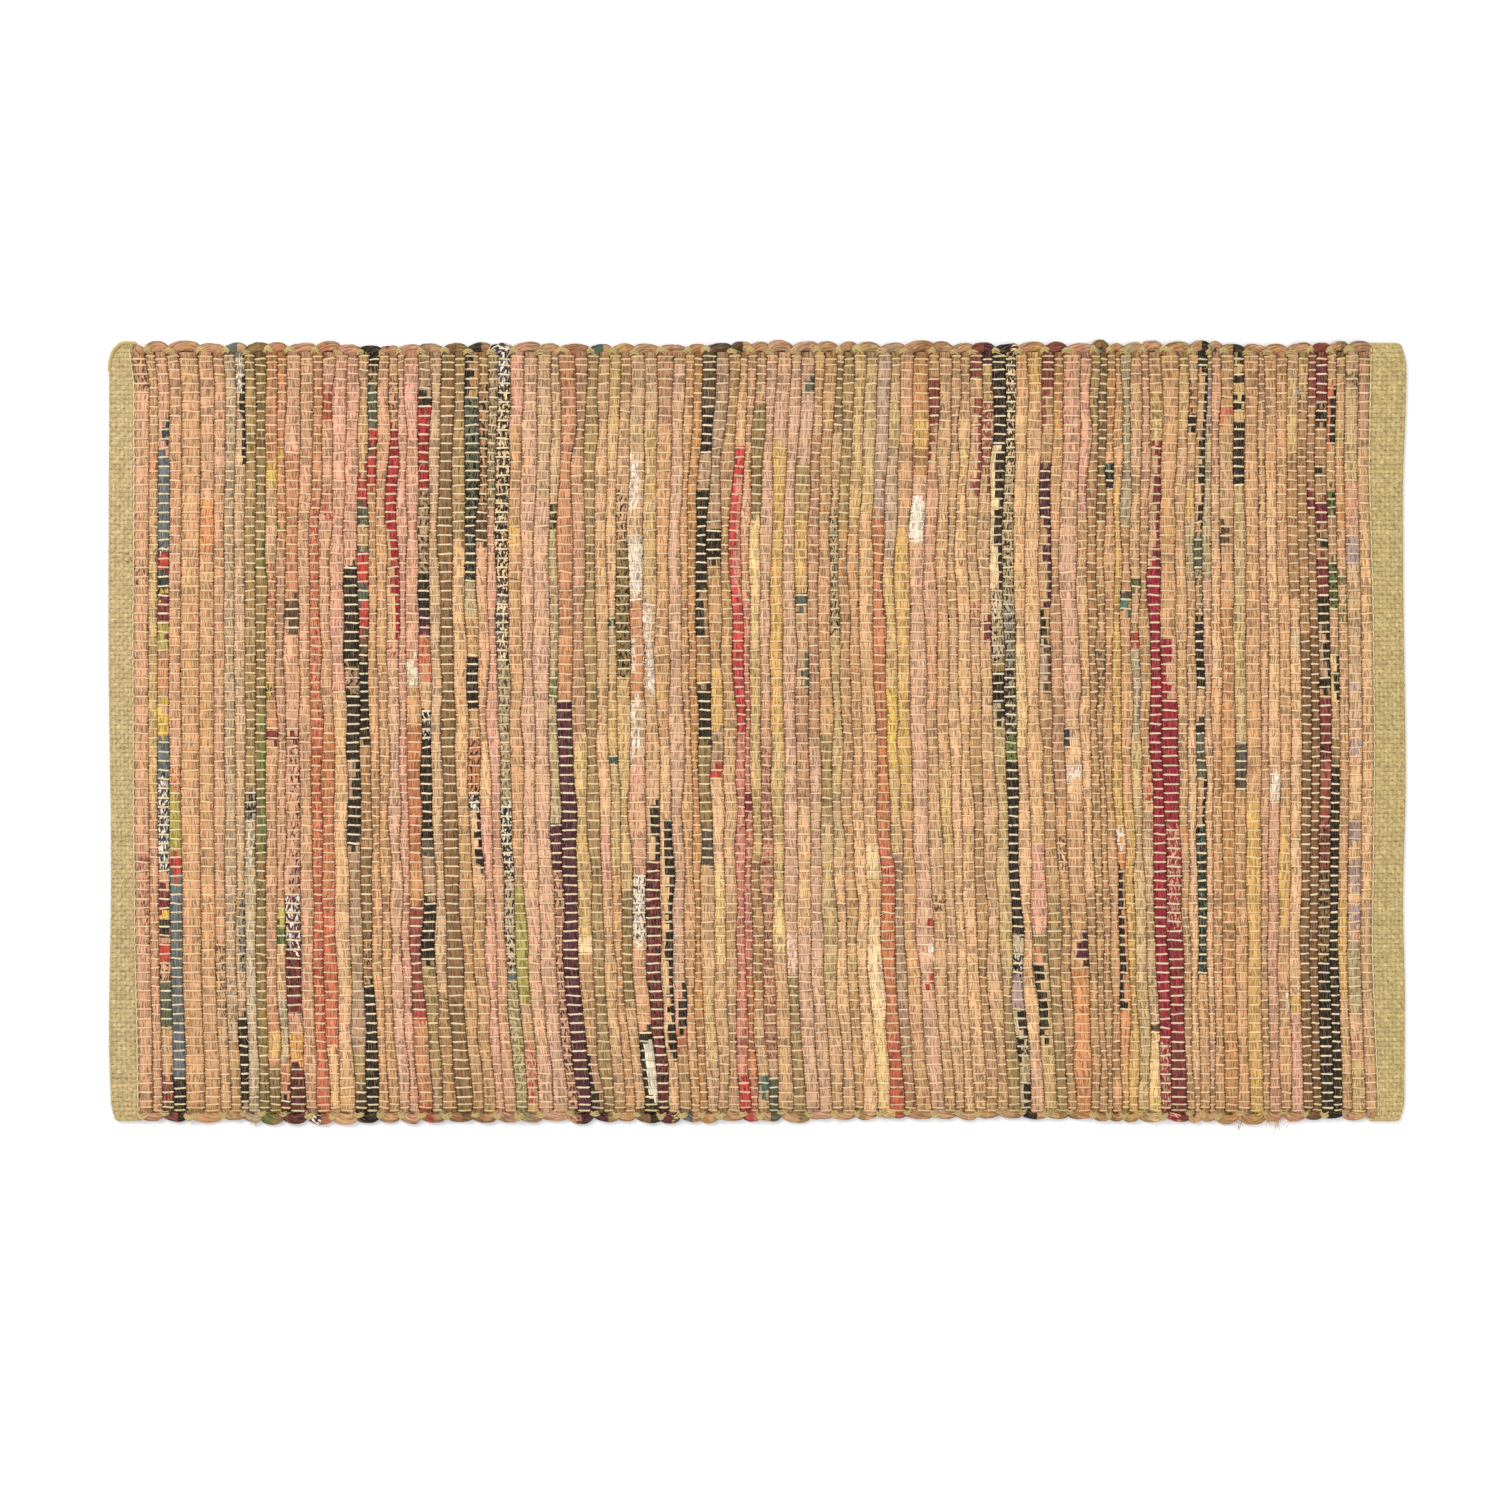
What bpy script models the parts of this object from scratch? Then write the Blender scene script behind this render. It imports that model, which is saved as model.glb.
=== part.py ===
"""Rag rug, 1.00 m by 0.60 m: one woven cloth whose yarn-woven ends are turned under as hems.

Metres, +Z up. X runs along the warp from hem to hem, and Y across the rug from selvedge to
selvedge. The rug lies flat on z = 0, with the origin under the middle of its box.
"""

import math
import random
from collections import namedtuple

import bmesh
import bpy

# The whole rug.
LENGTH = 0.998  # mean, from fold to fold
WIDTH = 0.600  # mean, from selvedge to selvedge
FIELD_THICKNESS = 0.0062  # at the crest of a rag strip
RIDGE_DEPTH = 0.0013  # from crest down to the groove between two strips
STRIP_WIDTH = 0.0086  # mean width that one rag strip takes along the warp
STRIP_UNEVEN = 0.22  # how far a strip's width strays from the mean, as a share
STRIP_SEED = 7

# The turned hems. Two layers of the yarn cloth lie a little apart and meet in the fold.
LEFT_HEM = 0.0205
RIGHT_HEM = 0.0250
HEM_CLOTH = 0.0016
HEM_GAP = 0.0004
HEM_END_GAP = 0.0005  # between the turned-under edge and the first rag strip
FOLD_STEPS = 6
INNER_FOLD_STEPS = 2

# Across the rug: where the section is repeated, how thick it is there, and how much of the
# scallop that the turning strips make reaches in so far. 1 is the selvedge.
Station = namedtuple("Station", "share thickness scallop")
STATIONS = (
    Station(0.000, 1.00, 0.0),
    Station(0.500, 1.00, 0.0),
    Station(0.950, 0.96, 0.0),
    Station(0.984, 0.80, 0.5),
    Station(1.000, 0.42, 1.0),
)
SCALLOP_DEPTH = 0.0028  # the turn of every second strip stands this far proud
STRIPS_A_SCALLOP = 2
WANDER = 0.0012  # how far a strip drifts along the warp on its way across
WANDER_WAVES = 1.4  # across the rug's width
WANDER_TURN = 1.4  # and how fast the drift changes from strip to strip, in turns a metre
EDGE_FADE = 6  # the higher, the nearer to the selvedge its unevenness stays
FOLD_FADE = 8  # and the nearer to the fold the fold's own unevenness stays
CORNER_PULL = 0.0040  # the fold draws in this far at each corner
CORNER_REACH = 0.06  # over this share of the half width

# The outline's unevenness: how far each edge lies out from its mean line, in metres.
Edge = namedtuple("Edge", "at out")
FAR_SELVEDGE = (
    Edge(-0.478, 0.0015),
    Edge(-0.420, 0.0000),
    Edge(-0.345, 0.0005),
    Edge(-0.300, -0.0015),
    Edge(-0.170, 0.0000),
    Edge(-0.075, -0.0015),
    Edge(-0.015, 0.0015),
    Edge(0.190, 0.0005),
    Edge(0.315, 0.0010),
    Edge(0.390, -0.0005),
    Edge(0.464, 0.0010),
)
NEAR_SELVEDGE = (
    Edge(-0.495, 0.0000),
    Edge(-0.353, 0.0020),
    Edge(-0.252, 0.0015),
    Edge(-0.013, 0.0010),
    Edge(0.110, -0.0018),
    Edge(0.234, -0.0010),
    Edge(0.290, 0.0010),
    Edge(0.373, 0.0015),
    Edge(0.434, -0.0010),
    Edge(0.492, 0.0000),
)
LEFT_FOLD = (
    Edge(-0.297, -0.0010),
    Edge(-0.234, 0.0006),
    Edge(-0.107, -0.0010),
    Edge(0.071, 0.0010),
    Edge(0.300, 0.0005),
)
RIGHT_FOLD = (
    Edge(-0.290, 0.0000),
    Edge(-0.207, 0.0004),
    Edge(-0.130, -0.0010),
    Edge(-0.037, 0.0010),
    Edge(0.133, -0.0010),
    Edge(0.179, -0.0012),
    Edge(0.275, 0.0016),
    Edge(0.300, 0.0006),
)

RUG_COLOUR = (0.47, 0.25, 0.15, 1.0)
RUG_ROUGHNESS = 0.92


def clear_scene():
    for thing in list(bpy.data.objects):
        bpy.data.objects.remove(thing, do_unlink=True)


def eased(edges, at):
    """How far out an edge lies at this place, read smoothly between the table's rows."""
    if at <= edges[0].at:
        return edges[0].out
    for low, high in zip(edges, edges[1:]):
        if at <= high.at:
            share = (at - low.at) / (high.at - low.at)
            share = share * share * (3.0 - 2.0 * share)
            return low.out + (high.out - low.out) * share
    return edges[-1].out


def groove_places(start, end):
    """The grooves between the rag strips, from one hem to the other."""
    uneven = random.Random(STRIP_SEED)
    count = round((end - start) / STRIP_WIDTH)
    widths = [1.0 + STRIP_UNEVEN * uneven.uniform(-1.0, 1.0) for _ in range(count)]
    scale = (end - start) / sum(widths)
    places = [start]
    for width in widths:
        places.append(places[-1] + width * scale)
    return places


def arc(centre_x, radius, centre_z, steps, side):
    """Points round a fold, from its top to its bottom, bulging towards this side."""
    return [
        (
            centre_x + side * radius * math.sin(math.pi * step / steps),
            centre_z + radius * math.cos(math.pi * step / steps),
        )
        for step in range(steps + 1)
    ]


def hem_section(field_end, fold_end, side):
    """The turned hem as x, z points: over the top, round the fold, back under and inside."""
    outer = HEM_CLOTH + HEM_GAP / 2.0
    centre_x = fold_end - side * outer
    under_end = field_end + side * HEM_END_GAP
    inside = arc(centre_x, HEM_GAP / 2.0, outer, INNER_FOLD_STEPS, side)
    return [
        (field_end, 2.0 * outer),
        *arc(centre_x, outer, outer, FOLD_STEPS, side),
        (under_end, 0.0),
        (under_end, HEM_CLOTH),
        *reversed(inside),
        (field_end, HEM_CLOTH + HEM_GAP),
        (field_end, 0.0),
    ]


def rug_section():
    """The rug's closed section along the warp, as x, z points."""
    left_end, right_end = -LENGTH / 2.0, LENGTH / 2.0
    field_start, field_end = left_end + LEFT_HEM, right_end - RIGHT_HEM
    grooves = groove_places(field_start, field_end)
    groove_height = FIELD_THICKNESS - RIDGE_DEPTH
    top = []
    for low, high in zip(grooves, grooves[1:]):
        top += [(low, groove_height), ((low + high) / 2.0, FIELD_THICKNESS)]
    top = top[1:]  # the first strip rises straight from the left hem
    underside = [(place, 0.0) for place in reversed(grooves[1:-1])]
    right = hem_section(field_end, right_end, 1.0)
    left = hem_section(field_start, left_end, -1.0)
    return top + right + underside + list(reversed(left))


def across():
    """Every station from the near selvedge to the far one, as y and its Station."""
    near = [(-row.share * WIDTH / 2.0, row) for row in reversed(STATIONS[1:])]
    return near + [(row.share * WIDTH / 2.0, row) for row in STATIONS]


def in_hem(x):
    nearly = 1e-6  # the hem's own points at its border count as in it
    return x < -LENGTH / 2.0 + LEFT_HEM + nearly or x > LENGTH / 2.0 - RIGHT_HEM - nearly


def scallop(x):
    return abs(math.sin(math.pi * x / (STRIPS_A_SCALLOP * STRIP_WIDTH))) - 0.5


def drawn_in(x, share):
    """How far the fold is drawn in towards the corners, from none at mid-width."""
    near_fold = max(0.0, (abs(x) - (LENGTH / 2.0 - LEFT_HEM)) / LEFT_HEM)
    near_corner = max(0.0, (share - 1.0 + CORNER_REACH) / CORNER_REACH)
    return CORNER_PULL * near_fold * near_corner**2


def laid(x, y, z, row):
    """A point of the even section moved to where it lies on the uneven rug."""
    edge = eased(FAR_SELVEDGE if y > 0.0 else NEAR_SELVEDGE, x) * row.share**EDGE_FADE
    fold = eased(RIGHT_FOLD if x > 0.0 else LEFT_FOLD, y)
    reach = (abs(x) / (LENGTH / 2.0)) ** FOLD_FADE
    drift = WANDER * math.sin(2.0 * math.pi * (WANDER_WAVES * y / WIDTH + WANDER_TURN * x))
    out = fold * reach - drawn_in(x, row.share)
    new_x = x + drift * (1.0 - reach) + (out if x > 0.0 else -out)
    if in_hem(x):
        proud, height = -0.5, 1.0
    else:
        proud, height = scallop(x), row.thickness
    edge += SCALLOP_DEPTH * proud * row.scallop
    return new_x, y + (edge if y > 0.0 else -edge), z * height


def woven_cloth(bm):
    """The section drawn through the stations as one closed body, then laid unevenly."""
    stations = across()
    ring = [bm.verts.new((x, stations[0][0], z)) for x, z in rug_section()]
    loop = list(bm.faces.new(ring).edges)
    for (near, _), (far, _) in zip(stations, stations[1:]):
        drawn = bmesh.ops.extrude_edge_only(bm, edges=loop)["geom"]
        moved = [item for item in drawn if isinstance(item, bmesh.types.BMVert)]
        bmesh.ops.translate(bm, vec=(0.0, far - near, 0.0), verts=moved)
        loop = [item for item in drawn if isinstance(item, bmesh.types.BMEdge)]
    bmesh.ops.edgeloop_fill(bm, edges=loop)
    rows = {round(y, 5): row for y, row in stations}
    for vert in bm.verts:
        x, y, z = vert.co
        vert.co = laid(x, y, z, rows[round(y, 5)])
    bmesh.ops.triangulate(bm, faces=[face for face in bm.faces if len(face.verts) > 4])
    bmesh.ops.recalc_face_normals(bm, faces=bm.faces)


def centre_on_origin(bm):
    """Puts the middle of the rug's box over the origin, with its underside on z = 0."""
    xs = [vert.co.x for vert in bm.verts]
    ys = [vert.co.y for vert in bm.verts]
    middle = (-(min(xs) + max(xs)) / 2.0, -(min(ys) + max(ys)) / 2.0, 0.0)
    bmesh.ops.translate(bm, vec=middle, verts=bm.verts)


def rug_material():
    material = bpy.data.materials.new("woven_rags")
    material.use_nodes = True
    shader = material.node_tree.nodes["Principled BSDF"]
    shader.inputs["Base Color"].default_value = RUG_COLOUR
    shader.inputs["Roughness"].default_value = RUG_ROUGHNESS
    shader.inputs["Metallic"].default_value = 0.0
    return material


def build_rug():
    bm = bmesh.new()
    woven_cloth(bm)
    centre_on_origin(bm)
    mesh = bpy.data.meshes.new("rug_cloth")
    bm.to_mesh(mesh)
    bm.free()
    mesh.shade_smooth()
    mesh.set_sharp_from_angle(angle=math.radians(50.0))
    mesh.materials.append(rug_material())
    rug = bpy.data.objects.new("rug_cloth", mesh)
    collection = bpy.data.collections.new("rag_rug")
    bpy.context.scene.collection.children.link(collection)
    collection.objects.link(rug)
    return rug


def main():
    clear_scene()
    build_rug()


main()
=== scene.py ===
"""Rag rug, 1.00 m by 0.60 m: torn cotton rags woven on a yarn warp, its ends turned under as hems.

Metres, +Z up. X runs along the warp from hem to hem, and Y across from selvedge to selvedge.
The rug lies on z = 0. A pass is one crossing of a rag strip; pass 1 is next to the left hem.
"""

import math
from collections import namedtuple

import bmesh
import bpy
import numpy as np
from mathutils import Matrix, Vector


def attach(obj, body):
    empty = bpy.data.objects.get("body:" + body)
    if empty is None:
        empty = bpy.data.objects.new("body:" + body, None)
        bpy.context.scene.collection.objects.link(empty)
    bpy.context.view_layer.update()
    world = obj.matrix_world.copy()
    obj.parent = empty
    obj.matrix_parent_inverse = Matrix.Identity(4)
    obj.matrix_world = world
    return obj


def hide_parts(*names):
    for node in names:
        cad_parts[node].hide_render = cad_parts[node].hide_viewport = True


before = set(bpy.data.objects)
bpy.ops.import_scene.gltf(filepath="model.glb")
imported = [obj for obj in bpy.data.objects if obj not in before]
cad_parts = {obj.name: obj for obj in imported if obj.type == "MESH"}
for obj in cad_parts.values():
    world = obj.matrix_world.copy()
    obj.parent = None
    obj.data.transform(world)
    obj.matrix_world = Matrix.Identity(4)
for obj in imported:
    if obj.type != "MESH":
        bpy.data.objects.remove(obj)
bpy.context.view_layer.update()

# The whole rug, as its CAD solid has it.
LENGTH = 0.998
WIDTH = 0.600
LEFT_HEM = 0.0205
RIGHT_HEM = 0.0250
CORNER_PULL = 0.0040
CORNER_REACH = 0.06

# The weave. Its middle plane lies at this height, and each warp yarn goes over every second pass.
WEAVE_HEIGHT = 0.0031
WARP_PITCH = 0.00354
STITCH = 2.0 * WARP_PITCH  # along a strip, from one warp yarn lying over it to the next
OUTER_WARP_PITCH = 0.0023  # the outermost yarns lie closer
OUTER_WARPS = 4
FAR_WARP = 0.2895  # where the field's outermost yarn lies
NEAR_WARP = -0.2915
WARP_RADIUS = 0.00094
WARP_RISE = 0.00196  # a yarn's middle, over or under a strip
WARP_FLAT = 0.33  # of the strip's width, each side of its middle

# A rag strip: how it swells between the warp yarns that hold it down.
PILLOW_HALF = 0.52  # of the pass's width
WAIST_HALF = 0.468
PILLOW_TOP = 0.0026  # above the middle plane
WAIST_TOP = 0.0015
STRIP_HALF_HEIGHT = 0.0019
PILLOW_SHARES = (0.22, 0.78)  # of the way from one holding yarn to the next
STRIP_RING = (
    (-1.00, 0.05), (-0.84, 0.64), (-0.33, 0.97), (0.33, 0.97),
    (0.84, 0.64), (1.00, 0.05), (0.60, -0.90), (-0.60, -0.90),
)
RIGHT_FACES = (3, 4, 5)
MIDDLE_FACES = (2, 6)
RAGGED = 0.6  # stitches that a join between two cloths strays
# painted light and shade: how much each face's lane along a strip is made lighter or darker, as its fold
# facets would be
LANE_FACET_SHADE = 0.16
STITCH_TONE = 0.091
BROAD_TONE = 0.16  # over some 12 stitches
BLUE_STRAY = 0.16  # how far the cloth yellows from place to place
USUAL_WIDTH = 0.0085  # a narrower strip lies lower
NARROWEST = 0.72
WIDEST = 1.08
CRUMPLE = 0.00021
SELVEDGE_SHADE_FAR = (0.69, 0.65, 0.58)  # painted shade: how much light of each colour is left at each selvedge
SELVEDGE_SHADE_NEAR = (0.76, 0.73, 0.68)
# how far in from each selvedge the painted shade reaches
SELVEDGE_SHADE_REACH_FAR = 0.056
SELVEDGE_SHADE_REACH_NEAR = 0.042
STRIP_END_FAR = 0.2925
STRIP_END_NEAR = -0.2940
WEFT_PIECES = 3
WARP_PIECES = 2

# The outline's unevenness: how far each edge lies out from its mean line.
Edge = namedtuple("Edge", "at out")
FAR_SELVEDGE = (
    Edge(-0.478, 0.0015), Edge(-0.420, 0.0000), Edge(-0.345, 0.0005), Edge(-0.300, -0.0015),
    Edge(-0.170, 0.0000), Edge(-0.075, -0.0015), Edge(-0.015, 0.0015), Edge(0.190, 0.0005),
    Edge(0.315, 0.0010), Edge(0.390, -0.0005), Edge(0.464, 0.0010),
)
NEAR_SELVEDGE = (
    Edge(-0.495, 0.0000), Edge(-0.353, 0.0020), Edge(-0.252, 0.0015), Edge(-0.013, 0.0010),
    Edge(0.110, -0.0018), Edge(0.234, -0.0010), Edge(0.290, 0.0010), Edge(0.373, 0.0015),
    Edge(0.434, -0.0010), Edge(0.492, 0.0000),
)
LEFT_FOLD = (
    Edge(-0.297, -0.0010), Edge(-0.234, 0.0006), Edge(-0.107, -0.0010), Edge(0.071, 0.0010),
    Edge(0.300, 0.0005),
)
RIGHT_FOLD = (
    Edge(-0.290, 0.0000), Edge(-0.207, 0.0004), Edge(-0.130, -0.0010), Edge(-0.037, 0.0010),
    Edge(0.133, -0.0010), Edge(0.179, -0.0012), Edge(0.275, 0.0016), Edge(0.300, 0.0006),
)
# Where the rags begin and end along the warp, from the near selvedge to the far one.
Line = namedtuple("Line", "at x")
FIELD_START = (
    Line(-0.284, -0.4761), Line(-0.230, -0.4769), Line(-0.168, -0.4784), Line(-0.052, -0.4796),
    Line(0.086, -0.4800), Line(0.168, -0.4792), Line(0.270, -0.4792), Line(0.291, -0.4827),
)
FIELD_END = (
    Line(-0.284, 0.4777), Line(-0.168, 0.4731), Line(-0.014, 0.4750), Line(0.102, 0.4738),
    Line(0.210, 0.4707), Line(0.291, 0.4723),
)

# How far the strips drift along the warp, in millimetres, against where they lie at mid-width.
Guide = namedtuple("Guide", "strip far upper lower near")
GUIDE_ROWS = (0.300, 0.2794, 0.1482, 0.0015, -0.1999, -0.2840, -0.300)
GUIDES = (
    Guide(1, 0.0, 0.0, 1.5, 3.5), Guide(5, 0.8, 0.4, 0.4, 7.7), Guide(8, 0.8, -1.5, 0.4, 7.3),
    Guide(11, 0.0, -1.5, -1.5, 1.2), Guide(14, 2.3, -1.2, 1.2, 5.8), Guide(17, 2.3, -2.7, 2.7, 6.9),
    Guide(20, -0.8, -2.3, 3.1, 6.2), Guide(23, 0.8, 0.0, 3.5, 8.9), Guide(26, -1.5, -2.3, 3.5, 8.1),
    Guide(28, -0.8, -3.1, 5.4, 13.1), Guide(31, -0.4, -2.3, 6.2, 13.1), Guide(34, 2.3, -1.5, 5.4, 15.0),
    Guide(38, 2.7, 0.8, 6.2, 15.8), Guide(40, 1.2, -2.7, 6.2, 13.9), Guide(43, 1.9, -1.9, 3.9, 12.3),
    Guide(45, 0.4, -1.2, 2.3, 10.8), Guide(47, 2.3, -1.9, 2.7, 6.2), Guide(50, 5.0, -1.9, 4.6, 7.7),
    Guide(53, 1.9, -5.8, -0.4, 2.3), Guide(56, 5.0, -0.4, 2.3, 6.9), Guide(59, 5.0, -1.9, 2.7, 8.5),
    Guide(62, 2.3, -3.1, 4.2, 9.6), Guide(66, 3.1, -3.9, 7.3, 13.1), Guide(69, 2.7, 0.0, 6.9, 15.4),
    Guide(73, 1.5, -3.1, 6.6, 12.3), Guide(77, 0.4, -2.3, 6.6, 11.6), Guide(79, 2.3, -0.4, 8.5, 14.3),
    Guide(82, 0.0, -3.9, 7.7, 9.3), Guide(85, 1.9, -0.8, 5.4, 5.8), Guide(88, 1.2, 0.0, 5.4, 6.9),
    Guide(91, -0.4, -1.2, 6.6, 9.3), Guide(95, 2.7, -0.8, 3.1, 3.1), Guide(99, -0.8, -0.8, 1.2, 1.9),
    Guide(103, -3.5, -3.9, -2.3, -3.1), Guide(107, -3.1, -5.8, -2.7, -3.1),
    Guide(111, -3.5, -4.2, -0.8, 1.2),
)

# The rags' colours as they look when lit, 0 to 255.
CLOTHS = {
    "salmon": (210, 160, 122),
    "tan": (206, 163, 120),
    "rose": (212, 160, 126),
    "pink": (218, 162, 134),
    "pale_pink": (216, 169, 136),
    "rose_pink": (206, 134, 112),
    "brick": (202, 142, 102),
    "red_brick": (188, 96, 70),
    "red_orange": (204, 118, 86),
    "rust": (198, 126, 86),
    "terracotta": (204, 148, 100),
    "navy": (62, 62, 64),
    "steel": (104, 110, 108),
    "black": (44, 34, 25),
    "umber": (98, 72, 50),
    "slate": (92, 80, 66),
    "brown": (176, 132, 90),
    "tan_brown": (194, 150, 104),
    "rose_brown": (190, 142, 108),
    "olive_brown": (168, 136, 90),
    "olive": (148, 120, 74),
    "dark_olive": (138, 104, 68),
    "dark_brown": (134, 96, 62),
    "scarlet": (198, 74, 70),
    "cherry": (164, 48, 50),
    "crimson": (150, 38, 54),
    "wine": (122, 50, 52),
    "maroon": (148, 76, 66),
    "plum": (84, 40, 52),
    "mauve": (210, 166, 134),
    "grey_mauve": (190, 158, 132),
    "sage": (190, 166, 124),
    "khaki": (208, 172, 116),
    "khaki_sage": (202, 170, 120),
    "yellow": (222, 184, 88),
    "lime": (176, 160, 84),
    "green": (110, 120, 62),
    "gold": (216, 172, 106),
    "sand": (206, 168, 128),
    "peach": (226, 180, 134),
    "peach_tan": (220, 174, 126),
    "pale_cream": (238, 204, 158),
    "pale_gold": (234, 198, 136),
    "orange": (212, 146, 96),
    "orange_tan": (209, 160, 114),
    "orange_brown": (200, 146, 94),
    "red": (190, 70, 60),
    "teal": (80, 106, 92),
    "teal_grey": (92, 96, 78),
    "grey": (160, 148, 126),
    "grey_cream": (202, 178, 144),
    "white": (240, 226, 208),
    "lilac": (176, 148, 140),
    "taupe": (180, 144, 112),
}
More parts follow.
